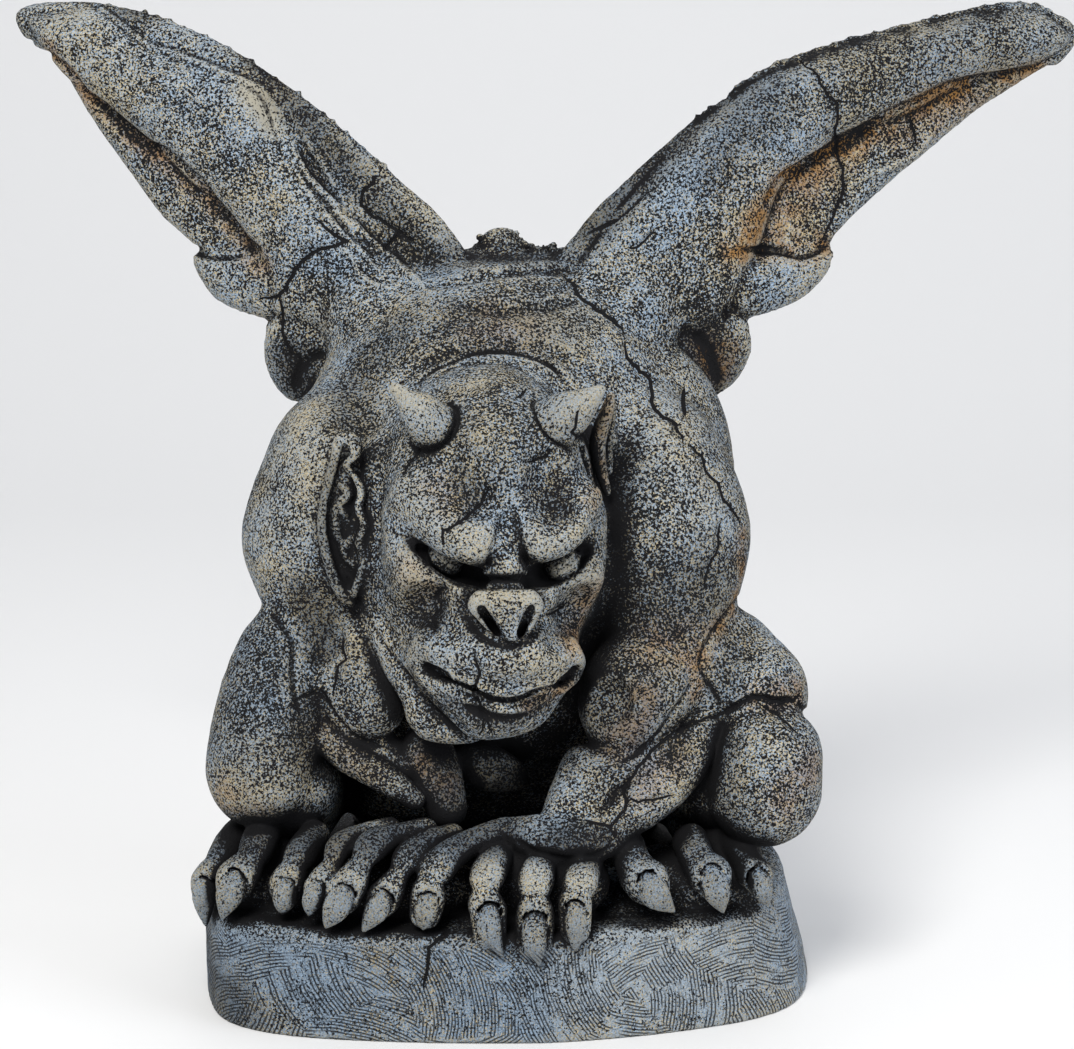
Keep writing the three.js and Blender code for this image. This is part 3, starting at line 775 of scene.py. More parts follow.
addHands(digits)
sculpt(handMarks)
addCrumbs(topEdge(wings["right"], 2, 9), 420, (0.6, 1.6, 0.6), 11)
addCrumbs(topEdge(wings["left"], 2, 8), 160, (0.6, 1.6, 0.6), 12)
addCrumbs([seenAt(x, y, 48) for x in range(482, 570, 8) for y in (232, 240, 248)], 240, (1.5, 3.0, 1.0), 13)


print("meshing", len(clay.masses), "masses")


class Grid:
    # distances on an even grid of millimetres, read back between its points
    def __init__(self, values, low, cell):
        self.values, self.low, self.cell = values, np.array(low, float), cell

    def read(self, points):
        place = np.clip((points - self.low) / self.cell, 0, np.array(self.values.shape) - 1.001)
        i = place.astype(np.int32)
        t = (place - i).astype(np.float32)
        total = 0.0
        for a in (0, 1):
            for b in (0, 1):
                for c in (0, 1):
                    weight = (t[:, 0] if a else 1 - t[:, 0]) * (t[:, 1] if b else 1 - t[:, 1])
                    weight = weight * (t[:, 2] if c else 1 - t[:, 2])
                    total = total + weight * self.values[i[:, 0] + a, i[:, 1] + b, i[:, 2] + c]
        return total


def meetGrids(pixels, rough, fine):
    # where the photograph's lines of sight through these pixels meet the finished clay
    eye, ways = sightLines(np.asarray(pixels, float))
    along = np.full(len(ways), photo["distance"] - 350)
    for grid in (rough, fine):
        for step in range(50):
            along += 0.8 * (grid.read(eye + ways * along[:, None]) - (2 if grid is rough else 0))
    return eye + ways * along[:, None]


def roughGrid(low, high):
    cell = meshing["roughCell"]
    counts = np.ceil((high - low) / cell).astype(int) + 2
    values = np.full(tuple(counts), meshing["far"], np.float32)
    return Grid(clay.lay(values, low, cell, 32), low, cell)


def fineGrid(rough, low, high, cell):
    # worked out finely only near the surface
    counts = np.ceil((high - low) / cell).astype(int) + 1
    values = np.empty(tuple(counts), np.float32)
    size = meshing["blockCells"]
    band = 4 * cell
    done = 0
    for i in range(0, counts[0], size):
        for j in range(0, counts[1], size):
            for k in range(0, counts[2], size):
                start = np.array((i, j, k))
                stop = np.minimum(start + size, counts)
                first = np.floor((low + start * cell - rough.low) / rough.cell).astype(int) - 1
                last = np.ceil((low + stop * cell - rough.low) / rough.cell).astype(int) + 2
                near = rough.values[tuple(slice(max(p, 0), q) for p, q in zip(first, last))]
                place = tuple(slice(p, q) for p, q in zip(start, stop))
                if np.abs(near).min() > meshing["reach"]:
                    values[place] = math.copysign(band, near.flat[0])
                    continue
                part = np.full(tuple(stop - start), meshing["far"], np.float32)
                clay.lay(part, low + start * cell, cell, 6)
                values[place] = np.clip(part, -band, band)
                done += 1
    print("  ", values.size, "cells,", done, "blocks worked out")
    return Grid(values, low, cell)


def meshFromGrid(grid):
    volume = openvdb.FloatGrid(4 * grid.cell)
    volume.copyFromArray(grid.values)
    points, quads = volume.convertToQuads(0.0)
    points = np.asarray(points, np.float32) * grid.cell + grid.low.astype(np.float32)
    quads = np.asarray(quads)
    mesh = bpy.data.meshes.new("gargoyle")
    mesh.vertices.add(len(points))
    mesh.vertices.foreach_set("co", (points * toMetres).ravel())
    mesh.loops.add(quads.size)
    mesh.loops.foreach_set("vertex_index", quads.astype(np.int32).ravel())
    mesh.polygons.add(len(quads))
    mesh.polygons.foreach_set("loop_start", np.arange(0, quads.size, 4, dtype=np.int32))
    mesh.update(calc_edges=True)
    print("  ", len(points), "vertices")
    return mesh


def pointsOf(mesh):
    points = np.empty(len(mesh.vertices) * 3, np.float32)
    mesh.vertices.foreach_get("co", points)
    return points.reshape(-1, 3) / toMetres


def normalsOf(mesh):
    normals = np.empty(len(mesh.vertices) * 3, np.float32)
    mesh.vertices.foreach_get("normal", normals)
    return normals.reshape(-1, 3)


def setPoints(mesh, points):
    mesh.vertices.foreach_set("co", (points * toMetres).astype(np.float32).ravel())
    mesh.update()


def lumps(points, size, seed):
    # smooth random lumps of the given size, from -1 to 1
    lattice = np.random.default_rng(seed).uniform(-1, 1, (24, 24, 24)).astype(np.float32)
    place = points / size
    i = np.floor(place).astype(int)
    t = (place - i).astype(np.float32)
    t = t * t * (3 - 2 * t)
    total = 0.0
    for a in (0, 1):
        for b in (0, 1):
            for c in (0, 1):
                weight = (t[:, 0] if a else 1 - t[:, 0]) * (t[:, 1] if b else 1 - t[:, 1])
                weight = weight * (t[:, 2] if c else 1 - t[:, 2])
                total = total + weight * lattice[(i[:, 0] + a) % 24, (i[:, 1] + b) % 24, (i[:, 2] + c) % 24]
    return total


def roughen(mesh):
    # the unevenness of hand modelling
    points, normals = pointsOf(mesh), normalsOf(mesh)
    push = 0.7 * lumps(points, 34, 1) + 0.35 * lumps(points, 13, 2) + 0.16 * lumps(points, 5, 3)
    onBlock = np.clip((points[:, 2] - 4) / 6, 0, 1)  # the underside stays flat
    low, high = (np.array(corner) / toMetres for corner in cadBounds)
    setPoints(mesh, np.clip(points + normals * (push * onBlock)[:, None], low, high))


cracks = {
    "jitter": 0.9,  # pixels
    "groove": 1.3,  # millimetres deep
    "wide": [  # in pixels of the photograph, with the half width in millimetres
        (0.75, [(315, 218), (333, 234), (347, 241), (329, 247), (312, 253), (294, 269), (287, 285), (279, 296),
                (260, 299)]),
        (0.6, [(279, 296), (283, 315), (283, 335), (292, 352), (303, 361)]),
        (0.7, [(381, 176), (373, 177), (371, 185), (363, 191), (361, 205), (370, 214), (388, 225), (400, 232),
               (413, 241)]),
        (0.5, [(400, 234), (385, 249)]),
        (0.8, [(565, 278), (575, 285), (579, 296), (594, 306), (610, 319), (624, 333)]),
        (0.8, [(625, 342), (627, 358), (651, 381), (653, 406), (662, 417), (676, 424), (683, 441)]),
        (0.6, [(690, 445), (702, 456), (705, 470), (719, 484), (723, 500), (731, 508), (740, 524)]),
        (1.0, [(684, 389), (683, 400), (685, 415)]),
        (0.5, [(721, 522), (719, 545), (708, 567), (704, 589)]),
        (0.6, [(799, 60), (819, 76), (826, 93), (837, 103), (837, 124), (835, 150), (843, 167), (843, 191),
               (838, 205), (830, 224), (819, 246)]),
        (0.6, [(910, 117), (915, 136), (916, 143)]), (0.8, [(726, 308), (726, 317)]),
        (0.5, [(650, 234), (638, 247), (629, 248)]),
        (0.6, [(489, 488), (478, 507), (460, 522), (443, 530), (444, 543)]),
        (0.6, [(444, 582), (446, 588), (436, 596), (441, 609), (434, 616), (436, 630)]),
        (0.6, [(475, 654), (477, 664), (480, 674), (474, 687), (481, 708), (487, 721), (492, 734)]),
        (0.4, [(485, 719), (480, 734)]), (0.5, [(517, 398), (526, 390)]),
        (0.6, [(578, 411), (576, 423), (571, 432), (580, 436)]), (0.5, [(527, 462), (547, 457), (549, 450)]),
        (0.5, [(547, 615), (561, 607)]), (0.5, [(419, 450), (403, 475)]),
        (0.7, [(298, 699), (307, 696), (318, 693), (325, 698)]),
        (0.5, [(343, 635), (343, 650), (346, 660), (338, 666), (337, 677), (333, 695)]),
        (0.7, [(585, 820), (598, 824), (610, 828), (615, 839)]),
        (0.7, [(610, 828), (615, 822), (626, 804), (623, 789), (636, 772), (652, 750), (674, 731), (682, 724)]),
        (0.5, [(628, 802), (647, 800), (674, 795)]), (0.6, [(680, 725), (697, 721), (715, 717)]),
        (0.8, [(712, 719), (723, 713), (737, 706), (752, 697), (776, 701), (794, 700), (800, 693)]),
        (0.6, [(798, 704), (812, 719)]), (0.5, [(759, 704), (776, 713), (796, 732)]),
        (0.7, [(445, 933), (428, 948), (428, 957), (427, 972), (423, 988)]),
    ],
}


def pixelsOf(points):
    # where the photograph shows these points
    elevation = math.radians(photo["elevation"])
    away = points - (np.array(photo["target"])
                     - np.array([0, math.cos(elevation), -math.sin(elevation)]) * photo["distance"])
    ahead = away[:, 1] * math.cos(elevation) - away[:, 2] * math.sin(elevation)
    upward = away[:, 1] * math.sin(elevation) + away[:, 2] * math.cos(elevation)
    perPixel = photo["millimetresPerPixel"] / photo["distance"]
    return np.column_stack([photo["width"] / 2 + away[:, 0] / ahead / perPixel,
                            photo["height"] / 2 - upward / ahead / perPixel])


def jagged(line, seed):
    # a crack's line, broken into short crooked steps
    line = np.array(line, float)
    spots = [line[0]]
    draw = np.random.default_rng(seed)
    for p, q in zip(line[:-1], line[1:]):
        count = max(1, round(float(np.linalg.norm(q - p)) / 5))
        for k in range(1, count + 1):
            spots.append(p + (q - p) * k / count + draw.normal(0, cracks["jitter"], 2) * (k < count))
    return np.array(spots)


def crackField(points, normals):
    # signed distance to the nearest crack and its half width there, in millimetres
    side = np.full(len(points), 9.0)
    half = np.zeros(len(points))
    seen = pixelsOf(points)
    facing = normals[:, 1] < 0.1
    for number, (wide, rough) in enumerate(cracks["wide"]):
        line = jagged(rough, number)
        spots = crackSpots[number]
        middle = (seen > line.min(axis=0) - 10) & (seen < line.max(axis=0) + 10)
        near = np.nonzero(middle.all(axis=1) & facing)[0]
        if not len(near):
            continue
        ways = points[near][:, None] - spots[None]
        near = near[(ways ** 2).sum(axis=2).min(axis=1) < 14 ** 2]
        along = np.linspace(0, 1, len(line))
        for i, (p, q) in enumerate(zip(line[:-1], line[1:])):
            edge, away = q - p, seen[near] - p
            t = np.clip((away @ edge) / max(edge @ edge, 1e-6), 0, 1)
            gap = np.linalg.norm(away - t[:, None] * edge, axis=1) * photo["millimetresPerPixel"]
            closer = gap < np.abs(side[near])
            sign = np.sign(edge[0] * away[:, 1] - edge[1] * away[:, 0])
            place = along[i] + t * (along[i + 1] - along[i])
            taper = np.clip(0.35 + 5 * np.minimum(place, 1 - place), 0, 1)
            side[near[closer]] = (gap * np.where(sign == 0, 1, sign))[closer]
            half[near[closer]] = (wide * taper)[closer]
    return side, half


def cutCracks(mesh):
    points, normals = pointsOf(mesh), normalsOf(mesh)
    side, half = crackField(points, normals)
    depth = cracks["groove"] * np.clip(1.5 - np.abs(side) / (half + 0.7), 0, 1) * (half > 0)
    setPoints(mesh, points - normals * depth[:, None])


def paintCracks(mesh):
    side, half = crackField(pointsOf(mesh), normalsOf(mesh))
    fade = np.clip(1 - np.abs(side) / 4, 0, 1)
    setAttribute(mesh, "crackSide", np.clip(side, -4, 4))
    setAttribute(mesh, "crackWide", np.where(fade > 0, half * (0.4 + 0.6 * fade), -1))


def thinOut(mesh):
    body = bpy.data.objects.new("gargoyle", mesh)
    bpy.context.scene.collection.objects.link(body)
    triangles = 2 * len(mesh.polygons)
    decimate = body.modifiers.new("thin out", "DECIMATE")
    decimate.ratio = min(1.0, meshing["triangles"] / triangles)
    depsgraph = bpy.context.evaluated_depsgraph_get()
    thinned = bpy.data.meshes.new_from_object(body.evaluated_get(depsgraph))
    body.modifiers.clear()
    body.data = thinned
    bpy.data.meshes.remove(mesh)
    thinned.name = "gargoyle"
    thinned.polygons.foreach_set("use_smooth", np.ones(len(thinned.polygons), bool))
    print("  ", len(thinned.polygons), "triangles")
    return body


clayLow = np.min([mass[1] for mass in clay.masses if not mass[4]], axis=0) - 6
clayHigh = np.max([mass[2] for mass in clay.masses if not mass[4]], axis=0) + 6
clayLow[2] = -4 * meshing["cell"]
rough = roughGrid(clayLow, clayHigh)
fine = fineGrid(rough, clayLow, clayHigh, meshing["cell"])
crackSpots = [meetGrids(jagged(line, number), rough, fine) for number, (wide, line) in enumerate(cracks["wide"])]
mesh = meshFromGrid(fine)
roughen(mesh)
cutCracks(mesh)
gargoyle = thinOut(mesh)


print("patinaAndPaintedShade")


def setAttribute(mesh, name, values):
    layer = mesh.attributes.new(name, "FLOAT", "POINT")
    layer.data.foreach_set("value", np.asarray(values, np.float32))


def paintWearAndShade(mesh, rough, fine):
    # hollow: how shut in a place is, from a thumb's width to a hand's; crease and crest: fine curvature. The stone is
    # later darkened in hollows and creases as painted shade, with grime, and paled on crests as wear
    points, normals = pointsOf(mesh), normalsOf(mesh)
    hollow = 0.0
    for reach, weight in ((5, 0.2), (10, 0.3), (18, 0.3), (30, 0.2)):
        gap = rough.read(points + normals * reach)
        hollow = hollow + weight * np.clip(1 - gap / reach, 0, 1)
    bend = 0.0
    step = 2.6
    for axis in np.eye(3):
        for sign in (-1, 1):
            bend = bend + fine.read(points + sign * step * axis)
    bend = (bend - 6 * fine.read(points)) / (step * step)
    setAttribute(mesh, "hollow", hollow)
    setAttribute(mesh, "crease", np.clip(-bend * 2.5, 0, 1))
    setAttribute(mesh, "crest", np.clip(bend * 3.0, 0, 1))
    setAttribute(mesh, "onBlock", np.clip((block["height"] + 2 - points[:, 2]) / 3, 0, 1))


# Stains, painted shade and painted highlight: the radius in millimetres, the strength, and a line or spot in pixels of
# the photograph.
stainsShadeAndHighlight = {
    "rust": [
        (9, 1.0, [(737, 249), (752, 243), (763, 212), (790, 174), (838, 149), (888, 121), (953, 90), (1032, 72)]),
        (8, 0.9, [(740, 244), (790, 248), (818, 248)]), (12, 0.6, [(775, 215), (800, 192), (835, 160)]),
        (12, 0.4, [(900, 132), (960, 102), (1010, 84)]), (9, 0.9, [(706, 345), (716, 366), (722, 352)]),
        (6, 0.7, [(50, 50), (90, 95), (140, 140), (200, 190), (250, 245)]), (8, 0.5, [(245, 240), (262, 262)]),
        (8, 0.7, [(590, 590), (584, 622), (574, 640)]), (5, 0.7, [(530, 704), (550, 694), (572, 682)]),
        (6, 0.8, [(743, 540), (740, 584), (720, 625), (700, 655), (696, 690)]), (14, 0.5, [(650, 645), (690, 650)]),
        (5, 0.7, [(592, 505), (600, 480), (594, 440), (606, 402)]), (10, 0.5, [(640, 700), (620, 745)]),
        (8, 0.6, [(760, 698), (800, 692)]), (12, 0.4, [(790, 800), (812, 770)]), (10, 0.25, [(322, 735), (365, 768)]),
        (10, 0.6, [(430, 765), (446, 780)]), (12, 0.4, [(225, 800), (250, 812)]), (8, 0.4, [(408, 570), (424, 588)]),
        (8, 0.25, [(432, 480), (450, 505)]), (10, 0.3, [(640, 790), (680, 750)]), (14, 0.3, [(480, 320), (520, 325)]),
    ],
    # pale wear, and painted highlight on the lit brows, nose, eyes, horns, knuckles and shoulders
    "wearAndHighlight": [
        (7, 1.0, [(248, 92), (262, 108), (270, 124)]), (5, 0.5, [(398, 390), (412, 402)]), (9, 0.35, [(428, 415)]),
        (10, 0.35, [(440, 530), (478, 548)]), (9, 0.3, [(535, 545), (572, 535)]), (9, 0.4, [(480, 603), (530, 603)]),
        (9, 0.35, [(560, 415), (596, 398)]), (9, 0.4, [(408, 560), (418, 580)]), (12, 0.2, [(450, 665), (540, 670)]),
        (16, 0.3, [(250, 760), (260, 790)]), (4, 0.4, [(417, 645), (416, 668)]),
        (4, 0.7, [(438, 554), (450, 562)]), (4, 0.7, [(556, 570), (568, 562)]),
        (26, 0.3, [(285, 430), (282, 500), (330, 420)]), (26, 0.25, [(668, 440), (690, 490)]),
        (16, 0.4, [(545, 318), (565, 322)]), (10, 0.4, [(568, 594), (590, 584)]),
        (10, 0.4, [(320, 318)]), (30, 0.3, [(600, 980), (740, 970)]),
        (6, 0.25, [(486, 872)]), (6, 0.25, [(535, 878)]), (6, 0.25, [(580, 880)]), (9, 0.35, [(418, 488), (428, 516)]),
    ],
    "blue": [
        (16, 0.7, [(280, 640), (252, 690), (250, 740)]), (12, 1.0, [(222, 850), (262, 850), (310, 845)]),
        (12, 0.9, [(380, 838), (430, 845), (500, 835), (560, 830)]), (13, 0.9, [(640, 860), (700, 858), (750, 862)]),
        (24, 0.8, [(770, 95), (730, 140), (700, 190), (655, 215)]), (18, 0.6, [(110, 40), (200, 90), (240, 150)]),
        (16, 0.7, [(330, 250), (360, 262), (390, 285)]), (14, 0.5, [(225, 275)]), (12, 0.4, [(770, 290)]),
        (14, 0.5, [(640, 300), (670, 330)]), (18, 0.4, [(770, 740), (780, 790)]), (20, 0.7, [(240, 960), (330, 990)]),
        (20, 0.5, [(480, 990), (640, 960)]), (12, 0.4, [(375, 560), (385, 610)]), (12, 0.4, [(430, 480)]),
        (14, 0.4, [(600, 260), (560, 250)]), (12, 0.5, [(290, 400), (330, 380)]), (10, 0.4, [(390, 850), (440, 880)]),
    ],
    "smooth": [
        (5, 0.4, [(438, 558), (455, 566)]), (5, 0.4, [(552, 567), (568, 560)]), (12, 0.35, [(428, 415), (400, 392)]),
        (12, 0.35, [(560, 415), (598, 392)]), (9, 0.2, [(480, 603), (530, 603)]), (10, 0.15, [(440, 525), (480, 545)]),
        (10, 0.15, [(535, 545), (575, 525)]), (9, 0.4, [(487, 872), (486, 902)]), (9, 0.4, [(536, 878), (535, 908)]),
        (9, 0.4, [(581, 880), (575, 900)]),
    ],
    # painted shade: darkness laid where shade falls, under the chest and chin, in the eye sockets, between limbs and
    # toes, and on sides turned from the light
    "paintedShade": [
        (30, 1.0, [(462, 790), (535, 790)]), (12, 1.0, [(548, 745), (540, 800)]), (24, 0.5, [(640, 690), (612, 740)]),
        (34, 0.3, [(490, 430), (530, 440)]), (30, 0.4, [(255, 670), (240, 740)]), (30, 0.35, [(850, 70), (980, 40)]),
        (26, 0.35, [(440, 325), (540, 325)]), (34, 0.35, [(250, 970), (330, 985), (410, 975)]),
        (5, 0.7, [(450, 702), (480, 716), (512, 722), (545, 704)]), (8, 0.6, [(352, 520), (366, 600)]),
        (9, 0.8, [(130, 10), (200, 28), (262, 66), (300, 112), (345, 165)]), (11, 0.6, [(345, 165), (400, 225), (440, 262)]),
        (11, 0.9, [(590, 232), (640, 180), (700, 118), (740, 88)]), (6, 0.7, [(740, 88), (860, 45), (1000, 14)]),
        (12, 0.9, [(300, 385), (290, 360)]), (12, 0.8, [(706, 330), (722, 372)]), (20, 0.2, [(620, 500), (628, 600)]), (20, 0.6, [(762, 98), (740, 120)]),
        (14, 0.5, [(722, 150), (712, 165)]),
        (14, 0.6, [(400, 330), (360, 380), (350, 420)]), (12, 0.6, [(440, 610), (425, 625)]),
        (8, 0.7, [(460, 476), (470, 494)]), (7, 0.7, [(556, 494), (560, 516)]), (12, 0.8, [(300, 742), (308, 712)]),
        (10, 0.5, [(735, 640), (722, 690)]), (14, 0.5, [(725, 780), (728, 820)]), (14, 0.6, [(450, 260), (560, 258)]),
        (4, 1.0, [(411, 540), (424, 552)]), (4, 1.0, [(460, 576), (480, 580), (505, 579), (530, 578), (546, 577)]),
        (4, 1.0, [(590, 546), (580, 556)]), (12, 0.4, [(388, 580), (404, 605)]), (24, 0.7, [(650, 602), (700, 592)]),
        (10, 0.8, [(448, 802), (452, 822)]), (12, 0.4, [(330, 738), (380, 778)]), (8, 0.7, [(300, 735), (304, 765)]),
        (34, 0.3, [(230, 975), (330, 985), (430, 985), (500, 985)]),
        (12, 0.9, [(306, 598), (318, 622), (324, 646)]), (10, 0.6, [(326, 590)]), (16, 0.3, [(350, 670), (370, 705)]),
        (11, 0.6, [(330, 475), (326, 520), (336, 575)]),
        (8, 0.7, [(345, 590), (362, 606)]), (3, 0.9, [(411, 668), (419, 685), (438, 705), (450, 720), (462, 735)]),
        (16, 1.0, [(222, 838), (290, 840), (350, 838), (400, 838), (450, 838), (500, 838)]),
        (12, 1.0, [(560, 844), (600, 848)]), (14, 0.7, [(620, 848), (690, 848), (750, 850)]),
        (10, 0.6, [(668, 732), (676, 748)]), (10, 0.6, [(716, 735), (728, 745)]), (12, 0.5, [(612, 420), (612, 455)]),
        (22, 0.8, [(208, 950), (214, 985), (236, 1005)]), (20, 0.3, [(425, 985), (440, 960)]),
        (16, 0.5, [(450, 318), (485, 318)]), (5, 0.8, [(392, 738), (410, 770), (418, 795)]),
    ],
}


# on each claw: smoother stone, painted shade and a blue tint
onClaws = {"smooth": 0.8, "paintedShade": 0.5, "blue": 0.45}


def paintStainsShadeAndHighlight(mesh, rough, fine):
    points = pointsOf(mesh)
    allClaws = [claw for group in digits.values() for bones, claw in group]
    for name, marks in stainsShadeAndHighlight.items():
        if name in onClaws:
            marks = marks + [(claw[1][3] + 1, onClaws[name], [p[:2] for p in claw]) for claw in allClaws]
        value = np.zeros(len(points))
        for radius, strength, line in marks:
            path = curveThrough(line, 6) if len(line) > 1 else line
            for spot in meetGrids(path, rough, fine):
                gap = np.linalg.norm(points - spot, axis=1) / radius
                value = np.maximum(value, strength * np.clip(1.4 - gap, 0, 1))
        setAttribute(mesh, name, value)
    angle = np.arctan2(points[:, 0], -points[:, 1])
    setAttribute(mesh, "around", 0.118 * angle)  # metres round the block
    setAttribute(mesh, "combed", np.clip((2.8 - np.abs(angle)) * 3, 0, 1)
                 * np.clip((block["height"] - 3 - points[:, 2]) / 5, 0, 1))


paintWearAndShade(gargoyle.data, rough, fine)
paintCracks(gargoyle.data)
paintStainsShadeAndHighlight(gargoyle.data, rough, fine)


print("stone")


class Wire:
    # a socket that can be used in sums
    def __init__(self, socket, nodes):
        self.socket, self.nodes = socket, nodes

    def sum(self, operation, *others):
        return self.nodes.make("ShaderNodeMath", {"operation": operation}, self, *others)

    def __add__(self, other):
        return self.sum("ADD", other)

    def __sub__(self, other):
        return self.sum("SUBTRACT", other)

    def __mul__(self, other):
        return self.sum("MULTIPLY", other)

    def __rsub__(self, other):
        return self.nodes.make("ShaderNodeMath", {"operation": "SUBTRACT"}, other, self)

    __radd__ = __add__
    __rmul__ = __mul__

    def clamped(self):
        return self.nodes.make("ShaderNodeMath", {"operation": "ADD", "use_clamp": True}, self, 0.0)

    def ramp(self, low, high, toLow=0.0, toHigh=1.0):
        settings = {"interpolation_type": "SMOOTHSTEP"}
        return self.nodes.make("ShaderNodeMapRange", settings, self, low, high, toLow, toHigh)


class Nodes:
    def __init__(self, material):
        material.use_nodes = True
        self.tree = material.node_tree
        self.tree.nodes.clear()

    def make(self, kind, settings=None, *inputs, output=0, **named):
        node = self.tree.nodes.new(kind)
        for name, value in (settings or {}).items():
            setattr(node, name, value)
        for socket, value in [*zip(node.inputs, inputs), *((node.inputs[n], v) for n, v in named.items())]:
            if isinstance(value, Wire):
                self.tree.links.new(value.socket, socket)
            elif value is not None:
                socket.default_value = value
        return Wire(node.outputs[output], self) if node.outputs else None

    def attribute(self, name):
        return self.make("ShaderNodeAttribute", {"attribute_name": name}, output="Fac")

    def noise(self, place, scale, detail=2.0, roughness=0.5, distortion=0.0):
        return self.make("ShaderNodeTexNoise", None, Vector=place, Scale=scale, Detail=detail,
                         Roughness=roughness, Distortion=distortion)

    def vector(self, operation, *inputs):
        return self.make("ShaderNodeVectorMath", {"operation": operation}, *inputs)

    def mix(self, factor, a, b, blend="MIX"):
        node = self.tree.nodes.new("ShaderNodeMix")
        node.data_type, node.blend_type = "RGBA", blend
        for index, value in ((0, factor), (6, a), (7, b)):
            if isinstance(value, Wire):
                self.tree.links.new(value.socket, node.inputs[index])
            else:
                node.inputs[index].default_value = value
        return Wire(node.outputs[2], self)


stone = {
    "warmGrain": (0.375, 0.315, 0.195, 1),
    "coolGrain": (0.225, 0.30, 0.39, 1),
    "worn": (0.33, 0.31, 0.25, 1),
    "rust": (0.28, 0.145, 0.045, 1),
    "dark": (0.008, 0.008, 0.009, 1),
    "pitSpacing": 1.2,  # millimetres
    "sandSpacing": 0.62,
    "speckSpacing": 0.65,
    "toneSpacing": 0.75,
    "combSpacing": 1.6,
    "combSweep": 0.055,  # metres from the comb's strokes to the elbow that swings them
    "roughness": 0.82,
}


